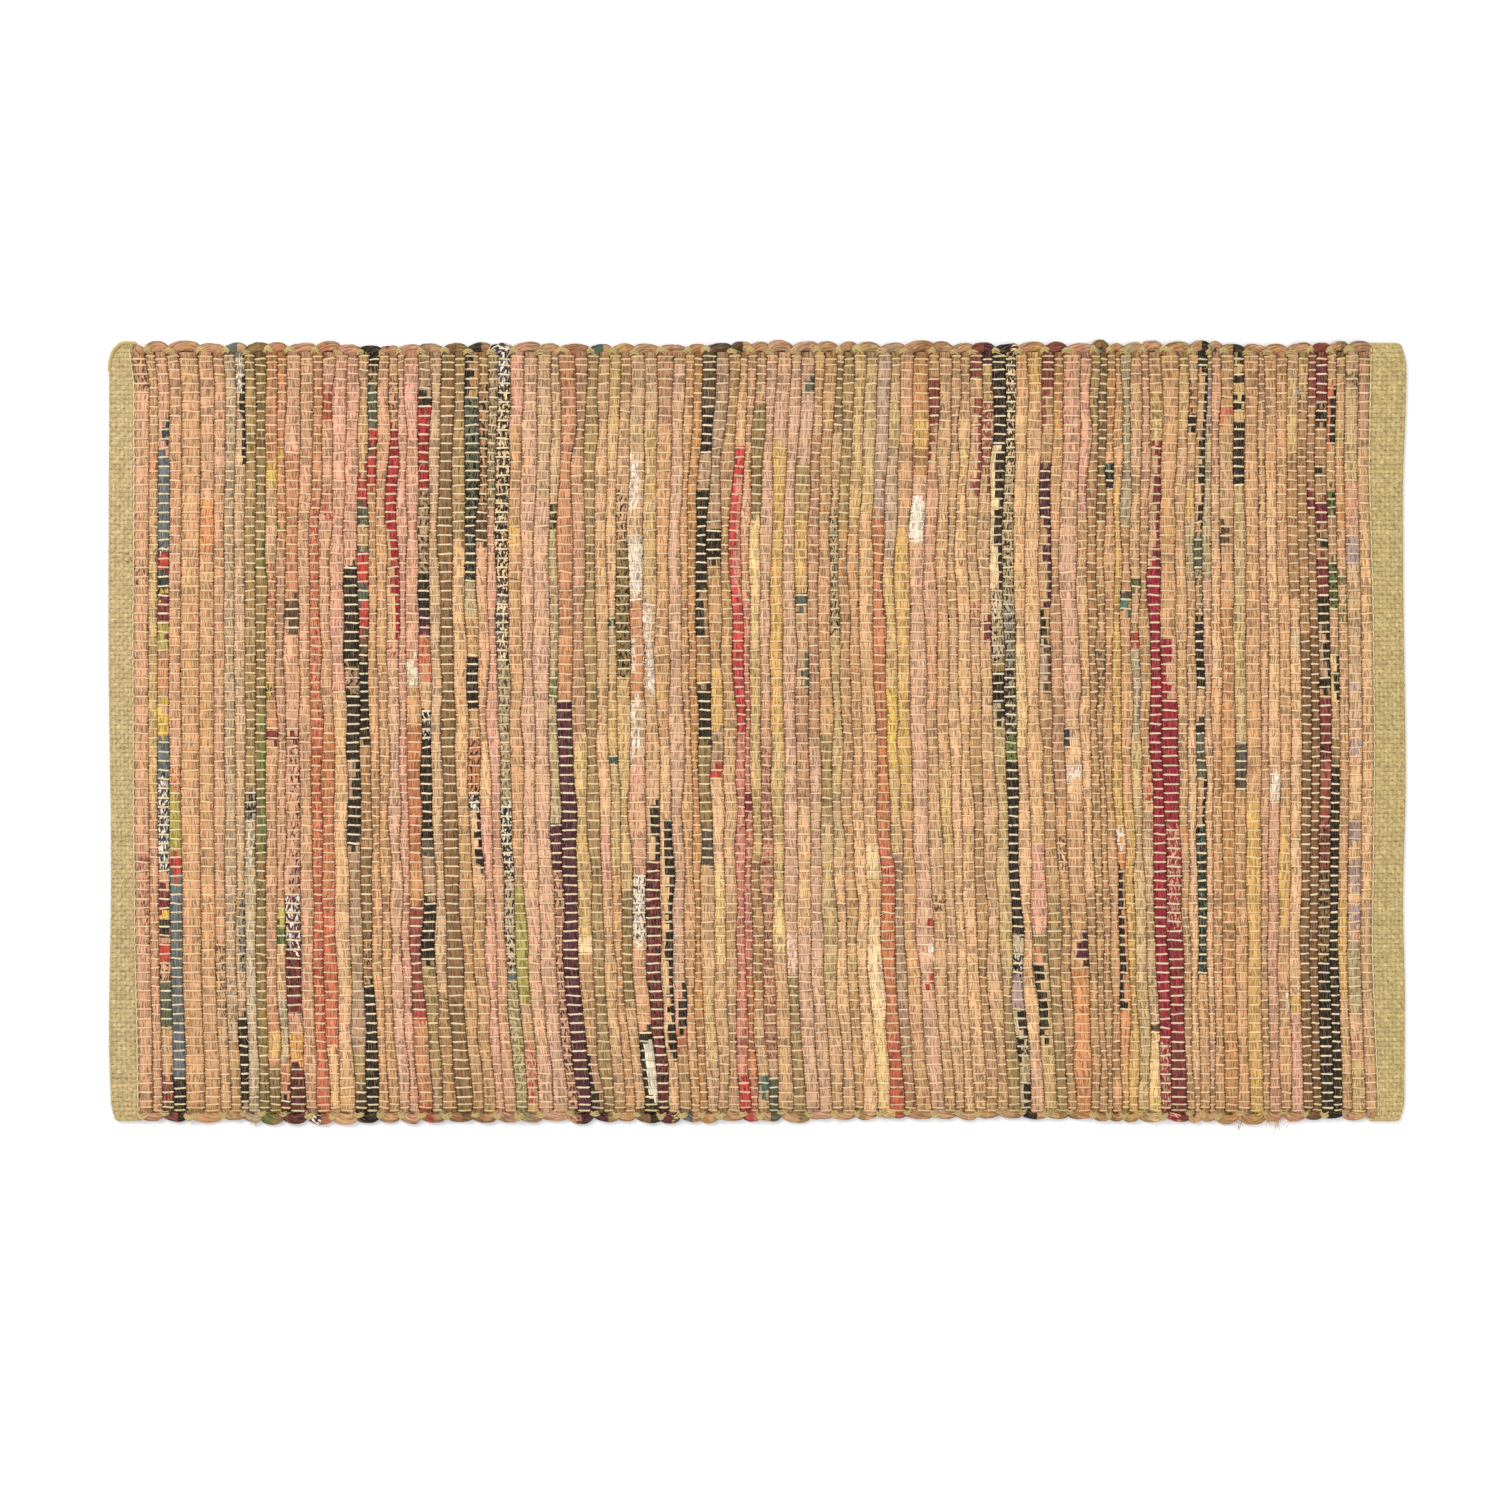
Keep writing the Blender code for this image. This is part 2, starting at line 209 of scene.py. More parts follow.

# The weaver's draft, one line a pass: its width in millimetres and its cloth, then the cloths that
# show on it from one stitch to another, counted from the far selvedge, 85 to a pass. R is its right
# half alone and L its left, and cloth/other is a cloth with flecks of the other. A line that ends in
# a semicolon goes on below. The chart was made from enlarged crops of the photo.
STITCHES = 85
DRAFT = """
10.9 salmon; salmon/umber 2-5; salmon/umber 24-27; R salmon/maroon 55-67
6.9 tan; brick 12-15; khaki 21-50; salmon 50-85
8.9 rose; R navy 8-11; steel 12-22; navy/white 22-23; red 23-25; navy 25-27; black/yellow 27-28;
  wine 28-31; lime 31-33; brick 34-39; yellow 40-43; steel 43-47; navy/white 47-58; wine 59-62;
  yellow 62-63; black 63-64; red 65-67; salmon/black 67-70; teal_grey 70-74; lime 74-75; tan 75-80;
  slate/red 80-85
9.1 salmon; tan/red 46-49; lime 49-56; red 56-58; steel 58-80; black 80-85
14.5 orange_tan
11.0 salmon; orange 17-23; orange_tan 23-85
8.2 salmon; tan/umber 65-73; tan 73-85
8.3 sand/grey; steel 0-1; tan_brown 76-85
7.4 sand; grey/white 1-6; R black 4-13; R grey/black 60-69; black 73-83; grey_mauve 83-85
8.6 olive_brown; olive 0-1; black/grey 49-51; grey/pale_cream 51-58; grey_cream 58-85
7.9 olive; R green 21-25; R green 38-56; green 84-85
7.9 brick; yellow 13-15; tan 15-24; tan/red 24-30; orange_tan 30-37; yellow/black 37-38; wine 42-43;
  salmon 43-71; gold 75-78; olive 79-85
6.6 brick; yellow 12-13; green 20-21; rose_brown 22-43; salmon 43-61; lime 61-64; green 64-66;
  peach 66-71; grey_cream 71-78; wine/black 81-85
10.8 rose; brick 12-28; umber 28-31; rose 31-42; wine 42-43; R rose/plum 43-60; plum/white 60-66;
  wine/black 66-70; wine 70-73; orange/yellow 75-79; wine/black 79-85
9.0 salmon; plum/white 84-85
8.3 brick; brick/red 17-41; rust/red 41-75; red_orange 75-85
8.6 rose; red_brick 5-9; rose/red 16-19; salmon 21-43; rust 43-60; red_orange 60-77; peach 77-85
10.6 pink; peach 38-78; peach_tan 78-85
10.0 pink; black 24-35; taupe/black 35-38; black 38-46; taupe 46-50; R black 46-50; black 50-55;
  taupe 55-77; olive_brown 77-81; umber 81-84; black 84-85
7.9 tan; black 0-1; red 14-18; teal_grey 18-20; teal_grey 22-23; red 23-26; teal_grey 26-28;
  red 28-31; umber 31-34; black 34-44; brown 44-55; dark_olive 55-65; brown/black 65-70;
  black 70-85
6.5 orange_tan; black 0-2; olive/black 2-5; teal_grey 5-9; red 9-11; umber 11-12; red 12-16
7.3 orange_tan; tan/wine 0-4; rose 4-20
8.0 tan; tan/wine 4-9; cherry 9-20; R cherry 20-32; tan/red 32-35; pale_pink 35-85
6.6 pink
10.4 pink; white 35-37; orange_tan 37-42; rust 42-56; terracotta 56-61; maroon 61-73; red 73-74;
  brick 74-83; red_brick 83-85
8.5 taupe; black 6-7; cherry 7-16; taupe/black 16-25; black 25-30; plum 30-32; red_orange 32-36;
  tan 36-40; black/white 40-43; black 43-54; slate 54-56; taupe 56-60; black 60-68;
  olive_brown 68-81; taupe 81-85
7.8 sand; brown 71-85
10.8 dark_olive
9.4 olive_brown; peach_tan 21-50; tan_brown 50-85; brown 83-85
9.0 tan_brown; black 0-1; L black 1-6; teal_grey/black 6-14; black/teal_grey 14-26; sage 26-30;
  black 34-40; rust/black 43-49; black/white 49-51; peach 51-60; R black 51-57
7.3 brown; brown/black 4-18; umber 18-22; salmon 22-43; peach 43-51; pink 51-85
6.8 sage; navy/white 0-1; sage/slate 1-18; pink 18-50; rose 50-85
9.0 sage; navy/white 0-5; black/pale_cream 5-27; navy/pale_cream 27-35; sage/slate 35-50;
  black/white 50-58; grey_cream/black 58-68; steel 68-69; sage/green 69-85
9.0 tan; pink 0-9; orange_tan 9-20; gold 20-22; orange_tan 22-59; lime 59-72; tan 72-76;
  rose/red 76-82
10.6 pale_pink; mauve 0-10
10.3 pale_pink; sand 0-17; mauve 76-85
7.4 sand; black/olive 18-20; sage 20-36; green/sage 36-39; sage 39-52; plum 52-57; rose/plum 57-85
11.3 brick; plum 39-85
9.9 rose_brown; khaki 43-65; pale_cream 65-67; tan_brown 67-77; L black 77-84; plum 84-85
9.3 olive_brown; teal 0-1
8.4 tan; peach 43-53; pink 53-59
7.4 khaki; peach 12-30; teal 30-31; sage 31-33; khaki 33-45; teal 45-46; khaki_sage 46-57;
  orange_tan 57-85
8.6 tan; tan_brown 0-6; tan/black 16-22; olive/black 22-36; khaki 36-60; olive 60-72;
  dark_olive 83-85
12.0 sand; L white/sand 12-18; white/sand 21-28; brick 28-39; L white/brick 32-36;
  L white/rose 39-46; rose 46-58; white/umber 58-65; salmon 65-75; black 75-85; R white 76-82
9.8 sand; khaki 10-28; L white/sand 28-33; R white/sand 33-38; tan 39-50; R black 50-57;
  wine/black 57-85
10.4 orange_tan; rose_brown 0-10; gold 38-39; peach 43-85; R black 52-78; plum/khaki 84-85
8.8 rose_pink/mauve; mauve 0-69; pink 69-75; R black 69-75; rust 75-77; tan_brown 77-84;
  steel 84-85
5.9 orange_tan
5.9 orange_brown
9.9 dark_brown; umber/slate 0-7; black 7-12; taupe 12-16; black 16-27; brown 27-32; L black 27-32;
  brown 32-37; black 37-44; olive 44-53; slate 53-57; tan 57-85; khaki 71-78
10.3 taupe; umber 0-1; black 20-24; tan_brown 24-36; gold 36-42; red 46-47; peach 47-57;
  pale_gold 57-67; tan 67-85
9.1 tan_brown; umber 0-1; tan 40-85
7.9 scarlet; peach_tan 0-11; R rose_pink 15-28; rose_pink 43-80
4.3 rose_pink; salmon 0-28; wine 49-51; rust 69-80
6.9 tan; olive 7-19; pale_gold 19-33; khaki 33-56; brown 56-71; teal 80-82
7.8 mauve; rose 38-43; rose_brown/maroon 43-78; teal_grey 80-85
10.0 orange_tan; mauve 0-11; gold 11-43; khaki 43-60; pale_gold 60-66; tan 66-85
9.0 mauve; pink/white 64-69; olive_brown 69-85
10.8 tan; mauve 0-13; R teal_grey 4-6; olive_brown 13-19; gold 19-27; slate/teal 27-29;
  R teal_grey 33-38; rose_brown 38-49; peach 49-64; mauve 64-85
8.4 mauve; tan 0-10; rose_brown 10-43
9.3 tan; tan_brown 0-20; orange_tan 20-43; olive_brown 43-53; khaki_sage 53-71
6.9 tan; olive 2-9; sage/black 19-32; khaki_sage 32-56; peach 56-73
7.8 tan_brown; olive_brown 0-20; khaki 64-71
8.5 khaki; orange_tan 20-50; peach 50-85
9.8 peach_tan; khaki_sage 0-12; khaki 12-19; pale_cream 55-58; pale_cream 62-73; pale_gold 73-85
9.3 rust; grey_mauve 0-19; red_orange/rust 54-61; red_brick/rust 56-61; rust 61-76; red_brick 76-85
8.3 taupe; khaki_sage 0-11; grey_mauve 11-24; khaki 24-38; yellow/khaki 38-46; khaki 46-55;
  rose_brown 78-85
9.4 gold; salmon 0-20; orange_tan 50-85
12.3 pale_pink; orange_brown 0-15; gold 8-12; white 17-22; R white 65-67; R red 63-64; R red 69-70
9.0 tan; tan_brown 0-4; maroon 4-9; L maroon 9-13; rose 13-40; tan/umber 60-62
8.5 tan; orange_tan 24-45; khaki 45-55
7.4 tan; peach 40-85
9.3 peach_tan; tan 0-12; pale_gold 12-14
7.9 tan; maroon 0-4; R maroon 6-17; tan/maroon 28-31; tan_brown 40-85
8.9 tan; plum 0-3; khaki 3-6; maroon/tan 6-14; R maroon 14-17; R wine 30-33
9.6 khaki_sage; black 0-12; pale_cream 12-27; R black 12-27; grey_cream/black 27-35; olive 35-36;
  black 36-39; sage 39-41; R black 39-41; olive_brown 71-85
8.1 grey_cream/black; black/pale_cream 0-13; sage/black 13-28; grey/black 28-35; black/grey 35-43;
  green/black 43-46; black 46-64; grey_cream 64-67; black/white 67-69; lilac 69-72;
  grey_cream 72-76; R black 72-76; L black 76-78; sage 78-80; grey_cream 80-85; R black 80-85
8.1 peach; orange_tan 0-6; peach_tan 6-33; pale_gold 33-44; pale_pink 76-85
10.8 peach_tan; gold 0-5; pink 55-64; olive_brown 64-66; olive 66-68; L brick 66-68; khaki 68-85;
  L black 68-76
9.6 tan_brown; maroon 0-6; L maroon 7-9; plum 13-19; R plum 19-29; L black 29-32; grey_mauve 32-38;
  R umber 32-38; olive_brown 60-85
7.9 orange_tan; maroon 0-1; orange_brown 1-10; rose_brown 25-50; tan/plum 54-57; tan_brown 60-85
13.7 peach; mauve/rose_pink 0-15; pale_pink 15-42; L navy 42-44; white/pink 46-48; orange_tan 50-69;
  R plum 64-68; orange 69-85
6.9 tan; pink 0-19; tan/brown 19-24; peach_tan 24-60; tan_brown 60-85
6.4 tan_brown; olive_brown 0-12; brown 12-40
5.4 tan_brown; dark_olive 0-20; brown/slate 33-38
6.4 orange_tan; orange_brown 0-10; teal 13-14; black 14-16; brown 76-80
5.9 gold; orange_tan 0-15; white/pink 53-55; orange 55-78; L black 57-73
7.4 orange_tan; sage/grey 0-20; slate 27-28; teal 28-29; gold 50-85
7.6 khaki_sage; tan 0-33; tan/umber 19-20; green/black 26-27; red 31-32; red 32-33;
  grey_cream/grey 33-43
7.4 tan_brown; rose 0-20; tan/red 46-50; sand 50-74; umber 74-75; pale_gold 75-85
8.8 tan; khaki/olive 5-11; crimson 11-12; R wine 12-19; rose 19-24; R wine 19-24; crimson 24-76;
  crimson/mauve 76-85
12.3 orange_tan; rose 32-39; L crimson 32-39; crimson 39-53; crimson/mauve 53-64;
  crimson/wine 64-76; wine 76-85
7.4 tan; khaki 0-10; orange 53-54
6.9 tan; orange_brown/umber 4-8; black 8-9; gold 15-19; sage 20-25; peach 40-85
6.9 orange_tan; black 0-3; tan 3-20; R black 3-20; teal_grey 21-25; tan/teal 25-30; black 30-38;
  tan 38-41; black 41-43; teal_grey 43-47; tan 47-52; R black 47-52; black/teal 52-69
5.4 peach; sage 0-3; lilac 3-9; sage 9-25; pale_pink 25-45; mauve 76-79; tan 79-85
7.3 peach; rose 0-15; orange_tan 37-85
10.4 orange_brown; tan_brown 0-7; red_orange 7-9; tan 9-20; L umber 20-22; orange_tan 22-28;
  terracotta 28-43
9.3 orange_tan; black 0-2; khaki 2-9; black 3-4; black 6-7; black 9-16; khaki_sage 16-43;
  sage 43-44; slate 44-49
11.2 orange_tan; gold 50-85
5.6 salmon; tan 0-20; tan/brown 60-85
8.8 rose; orange_tan 0-15; peach 15-47; white/peach 47-50
8.4 orange_tan; gold 52-64; tan/brown 70-74; R white 71-72
8.4 peach; tan 0-5; khaki 5-12; brown 12-28; sage 31-34; gold 71-73; pink 73-85
7.3 dark_brown; khaki 0-6; brown 6-32
6.4 brown; maroon 0-6; wine 16-18; dark_brown 30-85
9.0 brown; maroon 0-2; wine 2-6; brown/black 6-7; black 7-8; black 14-15; wine 17-20; black 21-22;
  wine 24-28; black 28-31; taupe 31-37; R black 31-37; black 37-38; wine 39-43; wine/black 43-46;
  maroon 46-51; maroon/black 51-58; dark_olive/black 58-67; black 67-85
6.5 tan; red_orange 5-12; R black 5-12; green/black 16-19; green/black 24-29; pale_gold 34-39;
  R black 34-39; olive 43-46; black 46-85
6.9 tan; olive 0-2; khaki 9-12; orange_tan 12-18; orange 18-20; orange_tan 20-25; tan/green 25-31;
  orange_tan 43-60; gold 60-71; salmon 84-85
10.3 sand; sand/slate 3-5; khaki_sage 5-15; rose 15-21; lilac 21-24; lilac 37-38; mauve 41-42;
  peach 42-85; lilac 44-45; lilac 52-55; lilac 57-59; lilac 62-63; sage 65-73; salmon 75-78;
  khaki_sage 78-84
8.4 peach_tan; rose_brown 0-11; sand 11-12; tan 60-85
"""
MILLIMETRE = 0.001
LIFT = (1.13, 1.10, 1.07)  # makes up for the light that creases and grooves take
PATCH_SHARE = 0.45  # how much of a flecked cloth its flecks cover
Patch = namedtuple("Patch", "side cloth start end")
Strip = namedtuple("Strip", "width cloth patches")


def read_patch(words):
    side, cloth, span = words if len(words) == 3 else ("B", *words)
    start, end = span.split("-")
    return Patch(side, cloth, int(start), int(end))


def read_draft():
    strips = []
    for line in DRAFT.strip().replace(";\n", ";").splitlines():
        first, *rest = [part.split() for part in line.split(";")]
        strips.append(Strip(float(first[0]) * MILLIMETRE, first[1], [read_patch(p) for p in rest]))
    return strips


STRIPS = read_draft()
COUNT = len(STRIPS)


def linear(colour):
    """A colour of 0 to 255 as light, for a mesh attribute or a socket."""
    return [
        (c / 255.0) / 12.92 if c <= 10 else ((c / 255.0 + 0.055) / 1.055) ** 2.4 for c in colour
    ]


def lifted(colour):
    """A rag's colour as light, before creases and grooves take some of it."""
    return [light * share for light, share in zip(linear(colour), LIFT)]


def cloth_of(name):
    """A cloth's colour with the colour and amount of its flecks, as eight numbers."""
    base, _, fleck = name.partition("/")
    ground = lifted(CLOTHS[base]) + [1.0]
    if fleck:
        return ground + lifted(CLOTHS[fleck]) + [PATCH_SHARE]
    return ground + lifted(CLOTHS[base]) + [0.0]


def cloth_along(strip):
    """The cloth of each stitch of a pass, for its left and right half."""
    halves = np.empty((STITCHES, 2, 8))
    halves[:] = cloth_of(strip.cloth)
    sides = {"B": (0, 1), "L": (0,), "R": (1,)}
    for patch in strip.patches:
        for half in sides[patch.side]:
            halves[patch.start : patch.end, half] = cloth_of(patch.cloth)
    return halves


CHART = np.array([cloth_along(strip) for strip in STRIPS])


def stitch_at(y):
    """Which stitch of the draft lies at this place across the rug."""
    number = (WIDTH / 2.0 - np.asarray(y)) / STITCH
    return np.clip(number.astype(int), 0, STITCHES - 1)


def eased(edges, at):
    """How far out an edge lies at this place, read smoothly between the table's rows."""
    if at <= edges[0].at:
        return edges[0].out
    for low, high in zip(edges, edges[1:]):
        if at <= high.at:
            share = (at - low.at) / (high.at - low.at)
            share = share * share * (3.0 - 2.0 * share)
            return low.out + (high.out - low.out) * share
    return edges[-1].out


def smoothed(values, reach):
    """Each value averaged with its neighbours, this many to each side."""
    padded = np.pad(values, reach, mode="edge")
    return np.convolve(padded, np.ones(2 * reach + 1) / (2 * reach + 1), mode="valid")


GRID_STEP = 0.002
GRID = np.arange(-0.306, 0.3061, GRID_STEP)
DRIFT_REACH = 12
WOBBLE = 0.0010
WOBBLE_KNOTS = 26
WOBBLE_REACH = 5
BORDER_SEED = 11


def read_line(rows):
    return np.interp(GRID, [row.at for row in rows], [row.x for row in rows])


def drift_of(border):
    """How far the border after this many passes drifts along the warp, all the way across."""
    at = [guide.strip for guide in GUIDES]
    columns = [[getattr(guide, name) for guide in GUIDES] for name in Guide._fields[1:]]
    far, upper, lower, near = [np.interp(border + 0.5, at, column) for column in columns]
    values = np.interp(-GRID, [-y for y in GUIDE_ROWS], [far, far, upper, 0.0, lower, near, near])
    return smoothed(values, DRIFT_REACH) * MILLIMETRE


def borders():
    """X of each border between two passes on the grid across the rug, in order along the warp."""
    uneven = np.random.default_rng(BORDER_SEED)
    ends = np.cumsum([0.0] + [strip.width for strip in STRIPS])
    shares = ends / ends[-1]
    start, end = smoothed(read_line(FIELD_START), 4), smoothed(read_line(FIELD_END), 4)
    middle = len(GRID) // 2
    lines = []
    for border, share in enumerate(shares):
        knots = uneven.normal(0.0, WOBBLE, WOBBLE_KNOTS)
        wobble = smoothed(np.interp(GRID, np.linspace(GRID[0], GRID[-1], WOBBLE_KNOTS), knots), WOBBLE_REACH)
        inner = min(1.0, 6.0 * share, 6.0 * (1.0 - share))
        own = start[middle] + (end[middle] - start[middle]) * share + drift_of(border) + wobble
        held = start + (end - start) * share
        lines.append(held + (own - held) * inner)
    lines = np.array(lines)
    for low in range(COUNT):  # a strip never closes up
        least = lines[low] + 0.55 * STRIPS[low].width
        lines[low + 1] = np.maximum(lines[low + 1], least)
    return lines


BORDERS = borders()


def border_x(border, y):
    return np.interp(y, GRID, BORDERS[border])


def warp_places():
    """Y of every warp yarn of the field, from the near selvedge to the far one."""
    edge = [OUTER_WARP_PITCH * step for step in range(OUTER_WARPS)]
    near = [NEAR_WARP + step for step in edge]
    far = [FAR_WARP - step for step in edge]
    start, end = near[-1] + WARP_PITCH, far[-1] - WARP_PITCH
    inner = np.linspace(start, end, round((end - start) / WARP_PITCH) + 1)
    return np.array(near + list(inner) + far[::-1])


WARPS = warp_places()


# Strands are gathered as arrays and become one mesh a piece. Each has its own band of the map.
def lofted(path, side_way, up_way, half_width, half_height, ring):
    """Rings of points along a path: stations by points of the ring by x, y, z."""
    ring = np.asarray(ring)
    out = half_width[:, None, None] * ring[None, :, :1] * side_way[:, None, :]
    raised = half_height[:, None, None] * ring[None, :, 1:] * up_way[:, None, :]
    return path[:, None, :] + out + raised


def strand_frames(path, up=(0.0, 0.0, 1.0)):
    """The level side and the upward direction at each point of a path."""
    ahead = np.gradient(path, axis=0)
    ahead /= np.linalg.norm(ahead, axis=1)[:, None] + 1e-12
    side = np.cross(ahead, np.asarray(up))
    side /= np.linalg.norm(side, axis=1)[:, None] + 1e-12
    return side, np.cross(side, ahead)


class Strands:
    """Strands that will be one piece: rings of points with a cloth for every face."""

    def __init__(self):
        self.rings = []
        self.faces = []

    def add(self, rings, cloth):
        """cloth is stations less one, by ring faces, by eight numbers."""
        self.rings.append(rings)
        self.faces.append(cloth)

    def mesh(self, name):
        vertices, quads, caps = [], [], []
        cloths, maps, threads = [], [], []
        cap_cloths, cap_maps, cap_threads = [], [], []
        base = 0
        for number, (rings, cloth) in enumerate(zip(self.rings, self.faces)):
            stations, sides = rings.shape[:2]
            index = base + np.arange(stations * sides).reshape(stations, sides)
            after = np.roll(index, -1, axis=1)
            quad = np.stack([index[:-1], after[:-1], after[1:], index[1:]], axis=-1)
            turned = inward(rings)
            order = [0, 3, 2, 1] if turned else [0, 1, 2, 3]
            quads.append(quad[..., order].reshape(-1, 4))
            ends = (index[0], index[-1][::-1]) if turned else (index[0][::-1], index[-1])
            caps += [list(end) for end in ends]
            along = running_length(np.diff(rings.mean(axis=1), axis=0))
            middle = rings[len(rings) // 2]
            around = running_length(np.roll(middle, -1, axis=0) - middle)
            band = (number + 0.04 + 0.92 * around / around[-1]) / len(self.rings)
            share = 0.01 + 0.98 * along / along[-1]
            bake = quad_map(share, band)[..., order, :].reshape(-1, 2)
            thread = quad_map(along, around + 0.061 * number)[..., order, :].reshape(-1, 2)
            maps.append(bake)
            threads.append(thread)
            cloths.append(np.repeat(cloth.reshape(-1, 8), 4, axis=0))
            for end in (0, -1):
                cap_cloths.append(np.repeat(cloth[end].mean(axis=0)[None], sides, axis=0))
                cap_maps.append(np.repeat([[share[end], band[0]]], sides, axis=0))
                cap_threads.append(np.repeat([[along[end], 0.061 * number]], sides, axis=0))
            vertices.append(rings.reshape(-1, 3))
            base += stations * sides
        mesh = bpy.data.meshes.new(name)
        faces = np.concatenate(quads).tolist() + [[int(v) for v in cap] for cap in caps]
        mesh.from_pydata(np.concatenate(vertices).tolist(), [], faces)
        mesh.shade_smooth()
        dress(mesh, np.concatenate(cloths + cap_cloths))
        add_map(mesh, "OFBake", np.concatenate(maps + cap_maps))
        add_map(mesh, "thread", np.concatenate(threads + cap_threads))
        return mesh


def running_length(steps):
    """How far along a line each of its points lies."""
    return np.concatenate([[0.0], np.cumsum(np.linalg.norm(steps, axis=1))])


def quad_map(along, around):
    """Map places of every quad's corners, in the order of its points."""
    low, high = along[:-1, None], along[1:, None]
    near, far = around[None, :-1], around[None, 1:]
    corners = [(low, near), (low, far), (high, far), (high, near)]
    places = [np.stack(np.broadcast_arrays(u, v), axis=-1) for u, v in corners]
    return np.stack(places, axis=-2)


def inward(rings):
    """True where the faces, taken in ring order, would point into the strand."""
    first, second = rings[0], rings[1]
    middle = first.mean(axis=0)
    after = np.roll(first, -1, axis=0)
    normal = np.cross(after - first, second - first)
    return float((normal * (first + after - 2.0 * middle)).sum()) < 0.0


def dress(mesh, cloths):
    """Gives every corner of the mesh its cloth's colour and its flecks'."""
    for name, part in (("cloth", cloths[:, :4]), ("fleck", cloths[:, 4:])):
        layer = mesh.color_attributes.new(name, "FLOAT_COLOR", "CORNER")
        layer.data.foreach_set("color", np.ascontiguousarray(part, dtype=np.float32).ravel())


def add_map(mesh, name, places):
    layer = mesh.uv_layers.new(name=name)
    layer.data.foreach_set("uv", np.ascontiguousarray(places, dtype=np.float32).ravel())


def piece(name, mesh, material):
    """A finished piece of the rug, which stands for the CAD cloth."""
    made = bpy.data.objects.new(name, mesh)
    bpy.context.scene.collection.objects.link(made)
    mesh.materials.append(material)
    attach(made, "root")
    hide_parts("rug_cloth")
    return made


STRIP_SEED = 23


def strip_stations(number, uneven):
    """Y and swell of each station along a pass: 0 where a warp yarn holds it, 1 in between."""
    held = WARPS[(number + 1) % 2 :: 2]
    y, swell = [STRIP_END_NEAR + 0.001], [0.85]
    for low, high in zip(held, held[1:]):
        y.append(low)
        swell.append(0.0)
        for share in PILLOW_SHARES:
            y.append(low + (high - low) * share)
            swell.append(1.0 + uneven.normal(0.0, 0.07))
    y += [held[-1], STRIP_END_FAR]
    swell += [0.0, 0.85]
    return np.array(y), np.array(swell)


def fullness(width):
    """How high a strip of this width swells, as a share of a usual one."""
    return 0.55 + 0.45 * np.clip(width / USUAL_WIDTH, NARROWEST, WIDEST)


def strip_strand(number, uneven):
    """One pass of rag: rings of points and its faces' cloths."""
    y, swell = strip_stations(number, uneven)
    left, right = border_x(number, y), border_x(number + 1, y)
    width = right - left
    count = len(y)
    x = (left + right) / 2.0 + uneven.normal(0.0, 0.00012, count)
    half = width * (WAIST_HALF + (PILLOW_HALF - WAIST_HALF) * swell)
    top = WAIST_TOP + (PILLOW_TOP - WAIST_TOP) * swell
    top = top * fullness(width)
    centre = top - STRIP_HALF_HEIGHT
    path = np.stack([x, y, WEAVE_HEIGHT + centre], axis=1)
    side = np.tile([1.0, 0.0, 0.0], (count, 1))
    up = np.tile([0.0, 0.0, 1.0], (count, 1))
    rings = lofted(path, side, up, half, np.full(count, STRIP_HALF_HEIGHT), STRIP_RING)
    rough = uneven.normal(0.0, CRUMPLE, rings.shape)
    rough[..., 1] = 0.0
    rings = rings + rough * np.clip(swell, 0.3, 1.0)[:, None, None]
    rings[..., 2] = np.clip(rings[..., 2], 0.0002, None)
    return rings, strip_cloths(number, y, uneven)


def selvedge_shade(y):
    """How much light of each colour the painted shade near the selvedges leaves, at each of these places."""
    far = np.clip((WIDTH / 2.0 - y) / SELVEDGE_SHADE_REACH_FAR, 0.0, 1.0)[:, None]
    near = np.clip((y + WIDTH / 2.0) / SELVEDGE_SHADE_REACH_NEAR, 0.0, 1.0)[:, None]
    far_tint = np.array(SELVEDGE_SHADE_FAR) * (1.0 - far) + far
    return far_tint * (np.array(SELVEDGE_SHADE_NEAR) * (1.0 - near) + near)


def strip_cloths(number, y, uneven):
    """A cloth for every face of a pass, its joins ragged and its fold facets painted lighter and darker in
    lanes, as painted light and shade.
    """
    middles = (y[:-1] + y[1:]) / 2.0
    count = len(middles)
    crest_right = smoothed(uneven.normal(0.0, 1.0, count), 3) > 0.0
    shared = smoothed(uneven.normal(0.0, RAGGED, count), 2)
    faces = np.empty((count, len(STRIP_RING), 8))
    for lane in range(len(STRIP_RING)):
        ragged = shared + smoothed(uneven.normal(0.0, RAGGED, count), 1)
        cloths = CHART[number][stitch_at(middles + ragged * STITCH)]
        right = crest_right if lane in MIDDLE_FACES else np.full(count, lane in RIGHT_FACES)
        faces[:, lane] = np.where(right[:, None], cloths[:, 1], cloths[:, 0])
        # painted light and shade on each fold facet's lane
        faces[:, lane, :3] *= (1.0 + smoothed(uneven.normal(0.0, LANE_FACET_SHADE, count), 2))[:, None]
    tone = 1.0 + smoothed(uneven.normal(0.0, STITCH_TONE, count), 1)
    tone = tone + smoothed(uneven.normal(0.0, BROAD_TONE, count), 12)
    # the faces near each selvedge get painted shade, darker towards the edge
    faces[..., :3] *= tone[:, None, None] * selvedge_shade(middles)[:, None, :]
    faces[..., 2] *= (1.0 - smoothed(uneven.normal(0.0, BLUE_STRAY, count), 6))[:, None]
    return faces


def rag_strips():
    """The rag strips, shared out in turn over a few pieces of the rug's whole length."""
    uneven = np.random.default_rng(STRIP_SEED)
    pieces = [Strands() for _ in range(WEFT_PIECES)]
    for number in range(COUNT):
        pieces[number % WEFT_PIECES].add(*strip_strand(number, uneven))
    return pieces


YARN = (255, 238, 196)  # the warp yarn's cream
YARN_GREEN = (226, 208, 150)  # and its khaki near the selvedges
YARN_RING = ((-1.0, -0.35), (0.0, 1.0), (1.0, -0.35))
YARN_TAKES = 0.04  # of the colour of the rag under it, and more on a light rag
YARN_TAKES_LIGHT = 1.15
YARN_TAKES_MOST = 0.55
YARN_SEED = 31
YARN_EDGE = 0.010  # how far in from the selvedge it is khaki


